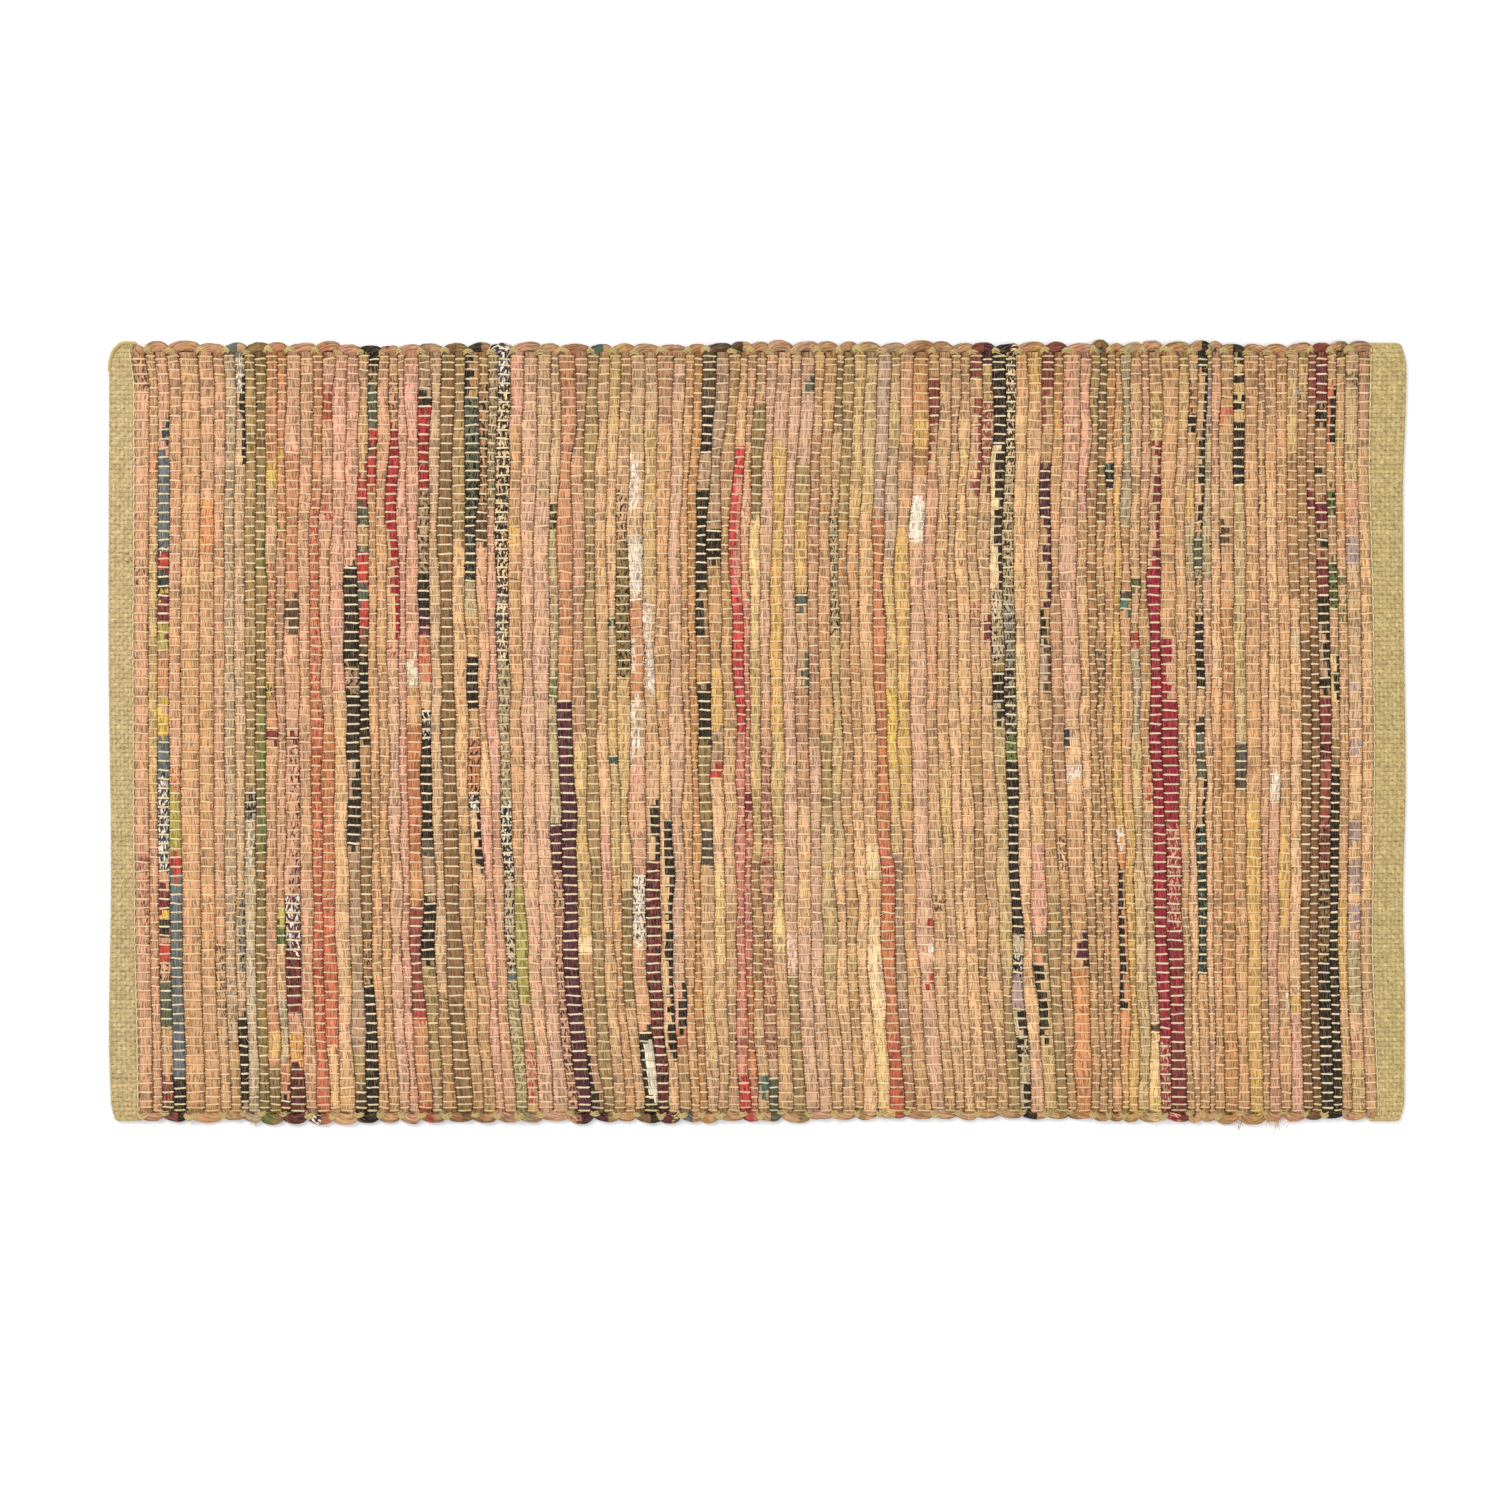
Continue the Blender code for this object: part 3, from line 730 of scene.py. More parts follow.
def yarn_cloths(y, number_of, count, uneven):
    """A colour for each face of a warp yarn, taking a little from the rag that it crosses."""
    under = CHART[number_of, stitch_at(y)].mean(axis=1)[:, :3]
    edge = min(WIDTH / 2.0 - abs(y) - 0.008, YARN_EDGE) / YARN_EDGE
    edge = max(0.0, min(1.0, edge))
    own = np.array(linear(YARN)) * edge + np.array(linear(YARN_GREEN)) * (1.0 - edge)
    takes = np.minimum(YARN_TAKES_MOST, YARN_TAKES + YARN_TAKES_LIGHT * under.mean(axis=1))[:, None]
    colour = own * (1.0 - takes) + under * takes
    colour *= (1.0 + uneven.normal(0.0, 0.07, count))[:, None]
    faces = np.zeros((count, len(YARN_RING), 8))
    faces[..., :3] = colour[:, None, :]
    faces[..., 3] = 1.0
    faces[..., 4:7] = colour[:, None, :] * 0.8
    return faces


def warp_strand(index, y, uneven):
    """One warp yarn from hem to hem, over every second strip and under the others."""
    x, z = [], []
    passes = []
    for number in range(COUNT):
        left, right = border_x(number, y), border_x(number + 1, y)
        middle, width = (left + right) / 2.0, right - left
        over = (index + number + 1) % 2 == 0
        rise = WARP_RISE if over else -WARP_RISE
        rise *= fullness(width) if over else 1.0
        x += [left, middle - WARP_FLAT * width, middle + WARP_FLAT * width]
        z += [0.0, rise, rise]
        passes += [number] * 3
    x.append(border_x(COUNT, y))
    z.append(0.0)
    count = len(x)
    slant = smoothed(uneven.normal(0.0, 0.00038, count), 1)
    tilt = np.repeat(uneven.normal(0.0, 0.00022, COUNT + 1), 3)[:count]
    slant += tilt * np.tile([0.0, -1.0, 1.0], COUNT + 1)[:count]
    path = np.stack([np.array(x), y + slant, WEAVE_HEIGHT + np.array(z)], axis=1)
    side, up = strand_frames(path)
    thick = WARP_RADIUS * (1.0 + uneven.normal(0.0, 0.06, count))
    rings = lofted(path, side, up, thick * 1.05, thick * 0.80, YARN_RING)
    return rings, yarn_cloths(y, np.array(passes), count - 1, uneven)


def warp_yarns():
    uneven = np.random.default_rng(YARN_SEED)
    pieces = [Strands() for _ in range(WARP_PIECES)]
    for index, y in enumerate(WARPS):
        pieces[index % WARP_PIECES].add(*warp_strand(index, y, uneven))
    return pieces


# The turns: at each selvedge a strip comes round into the next one, outside a bundle of yarns.
TURN_START = 0.2912  # how far out a turn's two ends lie
TURN_STATIONS = 11
TURN_RING = tuple(
    (reach * math.cos(step * math.tau / 10), reach * math.sin(step * math.tau / 10))
    for step, reach in enumerate((1.0, 0.93, 1.0, 0.74, 1.0, 0.95, 1.0, 0.90, 1.0, 0.78))
)
TURN_TWIST = 1.6
TURN_HEIGHT = 0.0027
TURN_THICK = 0.0046
TURN_SEED = 41
BUNDLE_FAR = 0.2912
BUNDLE_NEAR = -0.2920
BUNDLE_YARNS = 3
BUNDLE_SPACING = 0.0012
BUNDLE_SLANT = 0.0046  # how far the bundle comes out between two turns
BUNDLE_RADIUS = 0.00056
BUNDLE_FILLS = 2.3  # times as thick where it fills the notch between two turns


def edge_y(x, outward):
    """Y of the rug's outermost line at this X, on the far side for 1 and the near one for -1."""
    table = FAR_SELVEDGE if outward > 0 else NEAR_SELVEDGE
    return outward * (WIDTH / 2.0 + eased(table, x))


def pairs_at(outward):
    """Which passes are joined round this selvedge."""
    first = 1 if outward > 0 else 0
    return [(number, number + 1) for number in range(first, COUNT - 1, 2)]


def twisted(rings_ring, angles):
    """The ring turned by each angle in turn, one row a station."""
    ring = np.asarray(rings_ring)
    c, s = np.cos(angles)[:, None], np.sin(angles)[:, None]
    return np.stack([ring[:, 0] * c - ring[:, 1] * s, ring[:, 0] * s + ring[:, 1] * c], axis=-1)


def lofted_each(path, side, up, half_width, half_height, rings):
    out = half_width[:, None, None] * rings[..., :1] * side[:, None, :]
    return path[:, None, :] + out + half_height[:, None, None] * rings[..., 1:] * up[:, None, :]


def squared(values, power):
    return np.sign(values) * np.abs(values) ** power


def pass_middle(number, y):
    return float(border_x(number, y) + border_x(number + 1, y)) / 2.0


def pass_width(number, y):
    return float(border_x(number + 1, y) - border_x(number, y))


def turn_strand(first, second, outward, uneven):
    """The lump where one pass comes round into the next."""
    inside = outward * TURN_START
    left, right = border_x(first, inside), border_x(second + 1, inside)
    middle, reach = float(left + right) / 2.0, float(right - left) / 2.0
    thick = min(TURN_THICK, 0.60 * reach) * uneven.uniform(0.94, 1.06)
    outer = edge_y(middle, outward) + outward * uneven.normal(0.0004, 0.0007)
    top = outer - outward * thick
    turn = np.linspace(0.0, math.pi, TURN_STATIONS)
    lean = uneven.uniform(0.0, 0.50) * reach
    x = middle - (reach - 0.35 * thick) * squared(np.cos(turn), 0.8) + lean * np.sin(turn)
    y = inside + (top - inside) * np.sin(turn) ** 0.7
    rise = uneven.uniform(-0.0002, 0.0006)
    z = WEAVE_HEIGHT - 0.0004 + rise * np.cos(turn)
    path = np.stack([x, y, z], axis=1)
    side, up = strand_frames(path)
    half = thick * (0.72 + 0.28 * np.sin(turn) ** 0.6)
    high = TURN_HEIGHT * (0.90 + 0.10 * np.sin(turn))
    angles = outward * np.linspace(0.0, TURN_TWIST, TURN_STATIONS) + uneven.uniform(0.0, math.tau)
    rings = lofted_each(path, side, up, half, high, twisted(TURN_RING, angles))
    rings += uneven.normal(0.0, 0.00014, rings.shape)
    rings[..., 2] = np.clip(rings[..., 2], 0.0002, 0.0060)
    return rings, turn_cloths(first, second, outward, uneven)


def turn_cloths(first, second, outward, uneven):
    stitch = 0 if outward > 0 else STITCHES - 1
    count = TURN_STATIONS - 1
    half = count // 2
    own = np.array([CHART[first, stitch, 1]] * half + [CHART[second, stitch, 0]] * (count - half))
    # the turns get the painted shade of the selvedge they lie at
    own[:, :3] *= np.array(SELVEDGE_SHADE_FAR if outward > 0 else SELVEDGE_SHADE_NEAR)
    own[:, :3] *= (1.0 + uneven.normal(0.0, 0.05) + uneven.normal(0.0, 0.03, count))[:, None]
    return np.repeat(own[:, None, :], len(TURN_RING), axis=1)


def end_strand(number, outward, uneven):
    """The end of a strip that is tucked in at a corner of the field."""
    inside = outward * TURN_START
    y = np.linspace(inside, outward * (WIDTH / 2.0 - 0.0022), TURN_STATIONS)
    x = pass_middle(number, inside) + 0.0012 * np.linspace(0.0, 1.0, TURN_STATIONS) ** 2
    z = WEAVE_HEIGHT - np.linspace(0.0, 1.0, TURN_STATIONS) ** 2 * 0.0008
    path = np.stack([x, y, z], axis=1)
    side, up = strand_frames(path)
    fade = np.sqrt(np.clip(1.0 - np.linspace(0.0, 0.985, TURN_STATIONS) ** 4, 0.0, 1.0))
    half = pass_width(number, inside) * 0.48 * fade
    angles = outward * np.linspace(0.0, TURN_TWIST, TURN_STATIONS)
    rings = lofted_each(path, side, up, half, TURN_HEIGHT * 0.95 * fade, twisted(TURN_RING, angles))
    rings += uneven.normal(0.0, 0.0001, rings.shape)
    return rings, turn_cloths(number, number, outward, uneven)


def selvedge_turns():
    uneven = np.random.default_rng(TURN_SEED)
    turns = Strands()
    for outward in (1.0, -1.0):
        for first, second in pairs_at(outward):
            turns.add(*turn_strand(first, second, outward, uneven))
    turns.add(*end_strand(0, 1.0, uneven))
    turns.add(*end_strand(COUNT - 1, -1.0, uneven))
    return turns


def bundle_path(outward, uneven):
    """The middle of the yarn bundle over the strips' ends, with a peak between two turns."""
    line = BUNDLE_FAR if outward > 0 else BUNDLE_NEAR
    points = []
    for first, second in pairs_at(outward):
        left, mid, right = (float(border_x(number, line)) for number in (first, second, second + 1))
        peak = BUNDLE_SLANT * uneven.uniform(0.2, 1.0)
        edge = line + outward * 0.6 * eased(FAR_SELVEDGE if outward > 0 else NEAR_SELVEDGE, mid)
        points += [
            (left - 0.0012, edge + outward * 0.35 * peak, 0.0042),
            (left + 0.0012, edge + outward * peak, 0.0054),
            (left * 0.62 + mid * 0.38, edge + outward * 0.75 * peak, 0.0056),
            (mid, edge - outward * 0.0004, 0.0022),
            (mid * 0.45 + right * 0.55, edge - outward * 0.0002, 0.0010),
        ]
    points.append((float(border_x(COUNT, line)), line, 0.0050))
    return np.array(points)


def finer(path, steps):
    """The path with this many points for each of its own, on a smooth line through them."""
    before = np.concatenate([path[:1], path[:-1]])
    after = np.concatenate([path[1:], path[-1:]])
    slope = (after - before) / 2.0
    t = (np.arange(steps) / steps)[None, :, None]
    p, q = path[:-1, None], path[1:, None]
    a, b = slope[:-1, None], slope[1:, None]
    t2, t3 = t * t, t * t * t
    points = p * (2 * t3 - 3 * t2 + 1) + a * (t3 - 2 * t2 + t) + q * (3 * t2 - 2 * t3) + b * (t3 - t2)
    return np.concatenate([points.reshape(-1, 3), path[-1:]])


def plain_cloth(colour, stations, sides, uneven, spread=0.05):
    """One colour for a strand, a little lighter or darker from place to place."""
    tone = 1.0 + smoothed(uneven.normal(0.0, spread * 1.7, stations), 1)
    faces = np.ones((stations, sides, 8))
    faces[..., :3] = np.array(linear(colour)) * tone[:, None, None]
    faces[..., 4:7] = faces[..., :3] * 0.8
    return faces


BUNDLE_COLOUR = (192, 168, 112)
ROUND_RING = tuple((math.cos(k * math.tau / 5), math.sin(k * math.tau / 5)) for k in range(5))


def selvedge_bundles():
    uneven = np.random.default_rng(TURN_SEED + 1)
    yarns = Strands()
    for outward in (1.0, -1.0):
        line = bundle_path(outward, uneven)
        base = BUNDLE_FAR if outward > 0 else -BUNDLE_NEAR
        for yarn in range(BUNDLE_YARNS):
            path = line + uneven.normal(0.0, 0.00022, line.shape)
            path[:, 1] += (yarn - (BUNDLE_YARNS - 1) / 2.0) * BUNDLE_SPACING
            path = finer(path, 2)
            side, up = strand_frames(path)
            out = np.clip((outward * path[:, 1] - base - 0.0010) / BUNDLE_SLANT, 0.0, 1.0)
            thick = BUNDLE_RADIUS * (1.0 + (BUNDLE_FILLS - 1.0) * out)
            rings = lofted(path, side, up, thick, thick, ROUND_RING)
            yarns.add(rings, plain_cloth(BUNDLE_COLOUR, len(path) - 1, len(ROUND_RING), uneven))
    return yarns


# The hems: the yarn-woven header turned under, as one closed cloth with a fold.
HEM_LAYER = 0.0016
HEM_GAP = 0.0004
HEM_LAP = 0.0015  # how far the hem reaches under the first rag
HEM_CELL = 0.00214  # two points across it
HEM_RELIEF = 0.00034
HEM_PICK = 3  # the header's weft pitch, in points across the hem
HEM_ROWS_A_WARP = 4
HEM_SEED = 51
HEM_MOTTLE = 0.10
HEM_WARP_TONE = 1.05  # where a warp yarn lies on top, and where a weft yarn does
HEM_WEFT_TONE = 0.95
HEM_COLOURS = {-1.0: (186, 163, 116), 1.0: (187, 165, 112)}
FOLD_POINTS = 8
ROUND_REACH = 0.017
ROUND_PULL = 0.0085
FOLD_Z = HEM_LAYER + HEM_GAP / 2.0


def hem_ring(width):
    """The hem's closed section: distance in from the fold, height, and 1 where it shows weave."""
    cells = max(4, round(width / HEM_CELL))
    top = [(width - width * k / (2 * cells), 2.0 * FOLD_Z, 1.0) for k in range(2 * cells - 2)]
    turns = [math.pi * k / FOLD_POINTS for k in range(FOLD_POINTS + 1)]
    arc = [(FOLD_Z * (1.0 - math.sin(turn)), FOLD_Z * (1.0 + math.cos(turn)), 1.0) for turn in turns]
    under = [(width * share, 0.0, 0.0) for share in (0.3, 0.55, 0.8, 0.97)]
    inner = [(width * 0.97, HEM_LAYER, 0.0), (FOLD_Z, HEM_LAYER, 0.0), (FOLD_Z - 0.0002, FOLD_Z, 0.0),
             (FOLD_Z, HEM_LAYER + HEM_GAP, 0.0), (width, HEM_LAYER + HEM_GAP, 0.0)]
    return top + arc + under + inner


def rounded_corner(side, y):
    """How much more the fold draws in at the far left corner, which is rounded off."""
    if side > 0.0 or y < WIDTH / 2.0 - ROUND_REACH:
        return 0.0
    return ROUND_PULL * ((y - WIDTH / 2.0 + ROUND_REACH) / ROUND_REACH) ** 2.2


def hem_strand(side, uneven):
    """One hem, drawn from the near selvedge to the far one, and the painted shade of its pinholes and of the
    lines between its crossings.
    """
    width = (LEFT_HEM if side < 0 else RIGHT_HEM) + HEM_LAP
    fold_table = LEFT_FOLD if side < 0 else RIGHT_FOLD
    ring = hem_ring(width)
    rows = len(WARPS) * HEM_ROWS_A_WARP + 1
    y = np.linspace(-WIDTH / 2.0 + 0.0006, WIDTH / 2.0 - 0.0006, rows)
    rings = np.empty((rows, len(ring), 3))
    hole_shade = np.zeros((rows, len(ring)))
    for row, at in enumerate(y):
        near_corner = max(0.0, (abs(at) / (WIDTH / 2.0) - 1.0 + CORNER_REACH) / CORNER_REACH)
        drawn = CORNER_PULL * near_corner**2 + rounded_corner(side, at)
        fold = LENGTH / 2.0 + eased(fold_table, at) - drawn
        rags_end = -border_x(0, at) if side < 0 else border_x(COUNT, at)
        stretch = (fold - rags_end + HEM_LAP - FOLD_Z) / (width - FOLD_Z)
        for k, (inset, height, shows) in enumerate(ring):
            inset = FOLD_Z + (inset - FOLD_Z) * stretch if inset > FOLD_Z else inset
            relief = 0.0
            if shows:
                relief, hole_shade[row, k] = crossing(row, k, uneven)
            out = relief if inset < FOLD_Z else 0.0
            lift = relief if inset >= FOLD_Z else 0.0
            rings[row, k] = (side * (fold - inset + out), at, height + lift)
    rings[..., 2] = np.clip(rings[..., 2], 0.0001, None)
    cloth = plain_cloth(HEM_COLOURS[side], rows - 1, len(ring), uneven, 0.03)
    cloth[..., :3] *= (1.0 + uneven.normal(0.0, HEM_MOTTLE, cloth.shape[:2]))[..., None]
    yarns = np.arange(rows - 1)[:, None] // HEM_ROWS_A_WARP + np.arange(len(ring))[None, :] // HEM_PICK
    cloth[..., :3] *= np.where(yarns % 2 == 0, HEM_WARP_TONE, HEM_WEFT_TONE)[..., None]
    return rings, cloth, hole_shade


def crossing(row, k, uneven):
    """How high the header's weave stands at this point, and how much painted shade it gets there: most in a
    pinhole, less between crossings.
    """
    stray = uneven.normal(0.0, 0.00008)
    warp, along = divmod(row, HEM_ROWS_A_WARP)
    pick, across = divmod(k, HEM_PICK)
    if along == 0 and across == 0 and (warp + pick) % 2 == 0:
        return stray - 1.6 * HEM_RELIEF, uneven.uniform(0.45, 1.0)
    if along == 0:
        return stray - 0.5 * HEM_RELIEF, uneven.uniform(0.10, 0.50)
    if across == 0:
        return stray, uneven.uniform(0.0, 0.40)
    return stray + HEM_RELIEF * (1.0 if along == 2 else 0.7), 0.0


def hem_mesh(name, side):
    uneven = np.random.default_rng(HEM_SEED + int(side))
    rings, cloth, hole_shade = hem_strand(side, uneven)
    strands = Strands()
    strands.add(rings, cloth)
    mesh = strands.mesh(name)
    # this layer carries the painted shade of the pinholes and of the lines between crossings
    layer = mesh.color_attributes.new("pinhole", "FLOAT_COLOR", "POINT")
    shown = np.repeat(hole_shade.reshape(-1, 1), 4, axis=1).astype(np.float32)
    layer.data.foreach_set("color", shown.ravel())
    return mesh


CORD_RADIUS = 0.0015
CORD_POINTS = 26
BORDER_YARN = (236, 220, 176)
# The cord that goes round the far left corner, as X, Y and height.
CORNER_CORD = (
    (-0.4992, 0.2780, 0.0030), (-0.4980, 0.2880, 0.0034), (-0.4942, 0.2958, 0.0036),
    (-0.4880, 0.2998, 0.0036), (-0.4780, 0.2994, 0.0036),
)


def hem_cords():
    """The rolled cords along the hems' short edges and the pale yarn where each hem ends."""
    uneven = np.random.default_rng(HEM_SEED + 7)
    cords = Strands()
    for side in (-1.0, 1.0):
        width = LEFT_HEM if side < 0 else RIGHT_HEM
        for outward in (-1.0, 1.0):
            x = np.linspace(LENGTH / 2.0 - width - 0.002, LENGTH / 2.0 - CORNER_PULL, CORD_POINTS)
            y = np.full(CORD_POINTS, outward * (WIDTH / 2.0 - CORD_RADIUS))
            y[-5:] -= outward * np.array([0.0, 0.0002, 0.0006, 0.0013, 0.0024])
            z = 0.0026 + 0.0002 * np.sin(np.arange(CORD_POINTS))
            path = np.stack([side * x, y, z], axis=1)
            if side < 0 < outward:
                path = finer(np.array(CORNER_CORD), 6)
            way, up = strand_frames(path)
            thick = CORD_RADIUS * (1.0 + uneven.normal(0.0, 0.08, len(path)))
            thick[-1] *= 0.6
            rings = lofted(path, way, up, thick, thick, ROUND_RING)
            cords.add(rings, plain_cloth(BUNDLE_COLOUR, len(path) - 1, len(ROUND_RING), uneven))
        rows = 2 * len(WARPS)
        y = np.linspace(-0.296, 0.296, rows)
        border = border_x(0, y) if side < 0 else border_x(COUNT, y)
        z = 0.0040 + 0.0006 * np.where(np.arange(rows) % 4 < 2, 1.0, -1.0)
        path = np.stack([border + side * 0.0009, y, z], axis=1)
        way, up = strand_frames(path)
        thick = np.full(rows, 0.00058)
        rings = lofted(path, way, up, thick, thick, YARN_RING)
        cords.add(rings, plain_cloth(BORDER_YARN, rows - 1, len(YARN_RING), uneven))
    return cords


# Frayed ends: where they stand, how far they spread, how many, how long, and of which cloth.
Fray = namedtuple("Fray", "x y across along count length cloth")
FRAYS = (
    Fray(0.4145, 0.270, 0.002, 0.014, 16, 0.006, "white"),
    Fray(-0.0825, 0.105, 0.006, 0.074, 60, 0.006, "white"),
    Fray(-0.2650, 0.043, 0.005, 0.006, 22, 0.007, "pale_cream"),
    Fray(-0.0870, 0.058, 0.004, 0.024, 26, 0.006, "white"),
    Fray(-0.4610, 0.139, 0.002, 0.006, 8, 0.006, "navy"),
    Fray(-0.4800, 0.134, 0.008, 0.003, 6, 0.008, "maroon"),
    Fray(0.3800, -0.028, 0.003, 0.004, 10, 0.006, "salmon"),
    Fray(0.3300, -0.195, 0.003, 0.004, 8, 0.006, "orange_tan"),
    Fray(0.3940, -0.2985, 0.022, 0.002, 26, 0.006, "orange"),
    Fray(0.3725, -0.3020, 0.003, 0.001, 8, 0.005, "brown"),
    Fray(0.4020, -0.3015, 0.003, 0.001, 8, 0.005, "tan"),
    Fray(-0.3875, -0.2985, 0.003, 0.001, 6, 0.005, "tan"),
)
LOOSE_FRAYS = 1200
FRAY_SEED = 61
FRAY_RADIUS = 0.00021
FRAY_POINTS = 6
FRAY_RING = ((-1.0, -0.5), (0.0, 1.0), (1.0, -0.5))


def surface_height(x, y):
    """About how high the weave stands at this place."""
    return 0.0056 if abs(y) < 0.288 and -0.477 < x < 0.473 else 0.0044


def hair(x, y, length, uneven, lift=0.0):
    """A curled thread that lies on the weave."""
    heading = uneven.normal(math.pi / 2.0, 0.7) * uneven.choice((-1.0, 1.0))
    bend = uneven.normal(0.0, 2.2 / FRAY_POINTS, FRAY_POINTS)
    steps = length / (FRAY_POINTS - 1) * np.ones(FRAY_POINTS)
    angles = heading + np.cumsum(bend)
    xs = x + np.cumsum(np.cos(angles) * steps)
    ys = y + np.cumsum(np.sin(angles) * steps)
    arch = np.sin(np.linspace(0.15, math.pi, FRAY_POINTS)) * uneven.uniform(0.0002, 0.0011)
    zs = surface_height(x, y) - 0.0002 + lift + arch
    return np.stack([xs, ys, zs], axis=1)


def add_hair(hairs, path, colour, uneven, radius=FRAY_RADIUS):
    side, up = strand_frames(path)
    thick = radius * np.linspace(1.15, 0.55, len(path))
    rings = lofted(path, side, up, thick, thick, FRAY_RING)
    hairs.add(rings, plain_cloth(colour, len(path) - 1, len(FRAY_RING), uneven))


def strip_under(x, y):
    """Which pass lies at this place."""
    for number in range(COUNT):
        if x < border_x(number + 1, y):
            return number
    return COUNT - 1


def frayed_threads():
    uneven = np.random.default_rng(FRAY_SEED)
    hairs = Strands()
    for fray in FRAYS:
        for _ in range(fray.count):
            x = fray.x + uneven.normal(0.0, fray.across * 0.5)
            y = fray.y + uneven.uniform(-1.0, 1.0) * fray.along
            length = fray.length * uneven.uniform(0.6, 1.3)
            add_hair(hairs, hair(x, y, length, uneven), CLOTHS[fray.cloth], uneven)
    for _ in range(LOOSE_FRAYS):
        x, y = uneven.uniform(-0.47, 0.46), uneven.uniform(-0.283, 0.283)
        under = CHART[strip_under(x, y), stitch_at(y)].mean(axis=0)[:3]
        colour = np.clip(np.array(under) * uneven.uniform(0.75, 1.5), 0.0, 0.95)
        shown = [255.0 * (c ** (1.0 / 2.2)) for c in colour]
        add_hair(hairs, hair(x, y, uneven.uniform(0.003, 0.009), uneven), shown, uneven)
    return hairs


# Materials.
def socket_group(name, inputs, outputs):
    """A shader node group with these inputs, by name and default, and these outputs."""
    group = bpy.data.node_groups.new(name, "ShaderNodeTree")
    for label, kind, value in inputs:
        socket = group.interface.new_socket(name=label, in_out="INPUT", socket_type=kind)
        if value is not None:
            socket.default_value = value
    for label, kind in outputs:
        group.interface.new_socket(name=label, in_out="OUTPUT", socket_type=kind)
    return group, group.nodes.new("NodeGroupInput"), group.nodes.new("NodeGroupOutput")


def add_node(tree, kind, settings=(), **inputs):
    """A node with its settings, and its inputs by name: each a value or another node's output."""
    node = tree.nodes.new(kind)
    for name, value in settings:
        setattr(node, name, value)
    for name, value in inputs.items():
        key = int(name[1:]) if name[0] == "i" and name[1:].isdigit() else name.replace("_", " ")
        put(tree, node.inputs[key], value)
    return node


def put(tree, socket, value):
    if isinstance(value, bpy.types.NodeSocket):
        tree.links.new(value, socket)
    else:
        socket.default_value = value


def sums(tree, operation, first, second, clamp=False):
    settings = (("operation", operation), ("use_clamp", clamp))
    return add_node(tree, "ShaderNodeMath", settings, i0=first, i1=second).outputs[0]


def times(tree, first, second):
    return sums(tree, "MULTIPLY", first, second)


def ranged(tree, value, low, high, start, end):
    node = add_node(tree, "ShaderNodeMapRange", (), i0=value, i1=low, i2=high, i3=start, i4=end)
    return node.outputs[0]


def tinted(tree, colour, tone):
    """A colour made lighter or darker by a number."""
    node = add_node(tree, "ShaderNodeVectorMath", (("operation", "SCALE"),), i0=colour, Scale=tone)
    return node.outputs["Vector"]


def multiplied(tree, first, second):
    node = add_node(tree, "ShaderNodeVectorMath", (("operation", "MULTIPLY"),), i0=first, i1=second)
    return node.outputs[0]


def noise(tree, place, detail, roughness):
    """Cloudy noise read at this place, with its detail and how rough that is."""
    flat = (("noise_dimensions", "2D"),)
    shape = {"Scale": 1.0, "Detail": detail, "Roughness": roughness}
    return add_node(tree, "ShaderNodeTexNoise", flat, Vector=place, **shape).outputs[0]


def mixed(tree, share, first, second):
    settings = (("data_type", "RGBA"),)
    node = add_node(tree, "ShaderNodeMix", settings)
    put(tree, node.inputs[0], share)
    put(tree, node.inputs[6], first)
    put(tree, node.inputs[7], second)
    return node.outputs[2]


def fibre_group():
    """Streaks that run along a strand: fine ones, broad ones and their relief."""
    inputs = [
        ("Map", "NodeSocketVector", None),
        ("Along", "NodeSocketFloat", 200.0),
        ("Across", "NodeSocketFloat", 1200.0),
    ]
    outputs = [("Fine", "NodeSocketFloat"), ("Broad", "NodeSocketFloat"), ("Relief", "NodeSocketFloat")]
    group, start, end = socket_group("strand_fibres", inputs, outputs)
    along, across = start.outputs["Along"], start.outputs["Across"]
    ways = add_node(group, "ShaderNodeCombineXYZ", (), X=along, Y=across, Z=1.0)
    placed = multiplied(group, start.outputs["Map"], ways.outputs[0])
    fine = noise(group, placed, 3.0, 0.6)
    broad = noise(group, multiplied(group, placed, (0.42, 0.30, 1.0)), 2.0, 0.5)
    relief = sums(group, "ADD", times(group, fine, 0.45), times(group, broad, 0.75))
    group.links.new(fine, end.inputs["Fine"])
    group.links.new(broad, end.inputs["Broad"])
    group.links.new(relief, end.inputs["Relief"])
    return group


def groove_group():
    """The shade between the strands: a colour to multiply by, white on top."""
    inputs = [
        ("Bottom", "NodeSocketFloat", 0.003),
        ("Top", "NodeSocketFloat", 0.005),
        ("Deep", "NodeSocketColor", None),
    ]
    group, start, end = socket_group("groove_shade", inputs, [("Tint", "NodeSocketColor")])
    place = add_node(group, "ShaderNodeTexCoord")
    apart = add_node(group, "ShaderNodeSeparateXYZ", (), Vector=place.outputs["Object"])
    o = start.outputs
    raised = ranged(group, apart.outputs["Z"], o["Bottom"], o["Top"], 0.0, 1.0)
    group.links.new(mixed(group, raised, o["Deep"], (1.0, 1.0, 1.0, 1.0)), end.inputs["Tint"])
    return group


def fresh_material(name, roughness):
    material = bpy.data.materials.new(name)
    material.use_nodes = True
    shader = material.node_tree.nodes["Principled BSDF"]
    shader.inputs["Roughness"].default_value = roughness
    shader.inputs["Specular IOR Level"].default_value = 0.25
    return material, material.node_tree, shader


def placed_group(tree, group, **inputs):
    node = tree.nodes.new("ShaderNodeGroup")
    node.node_tree = group
    for name, value in inputs.items():
        put(tree, node.inputs[name], value)
    return node


def bumped(tree, shader, height, strength, distance):
    bump = add_node(tree, "ShaderNodeBump", (), Strength=strength, Distance=distance, Height=height)
    tree.links.new(bump.outputs["Normal"], shader.inputs["Normal"])


def thread_map(tree):
    return add_node(tree, "ShaderNodeUVMap", (("uv_map", "thread"),)).outputs["UV"]


def own_cloth(tree, name):
    return add_node(tree, "ShaderNodeAttribute", (("attribute_name", name),))


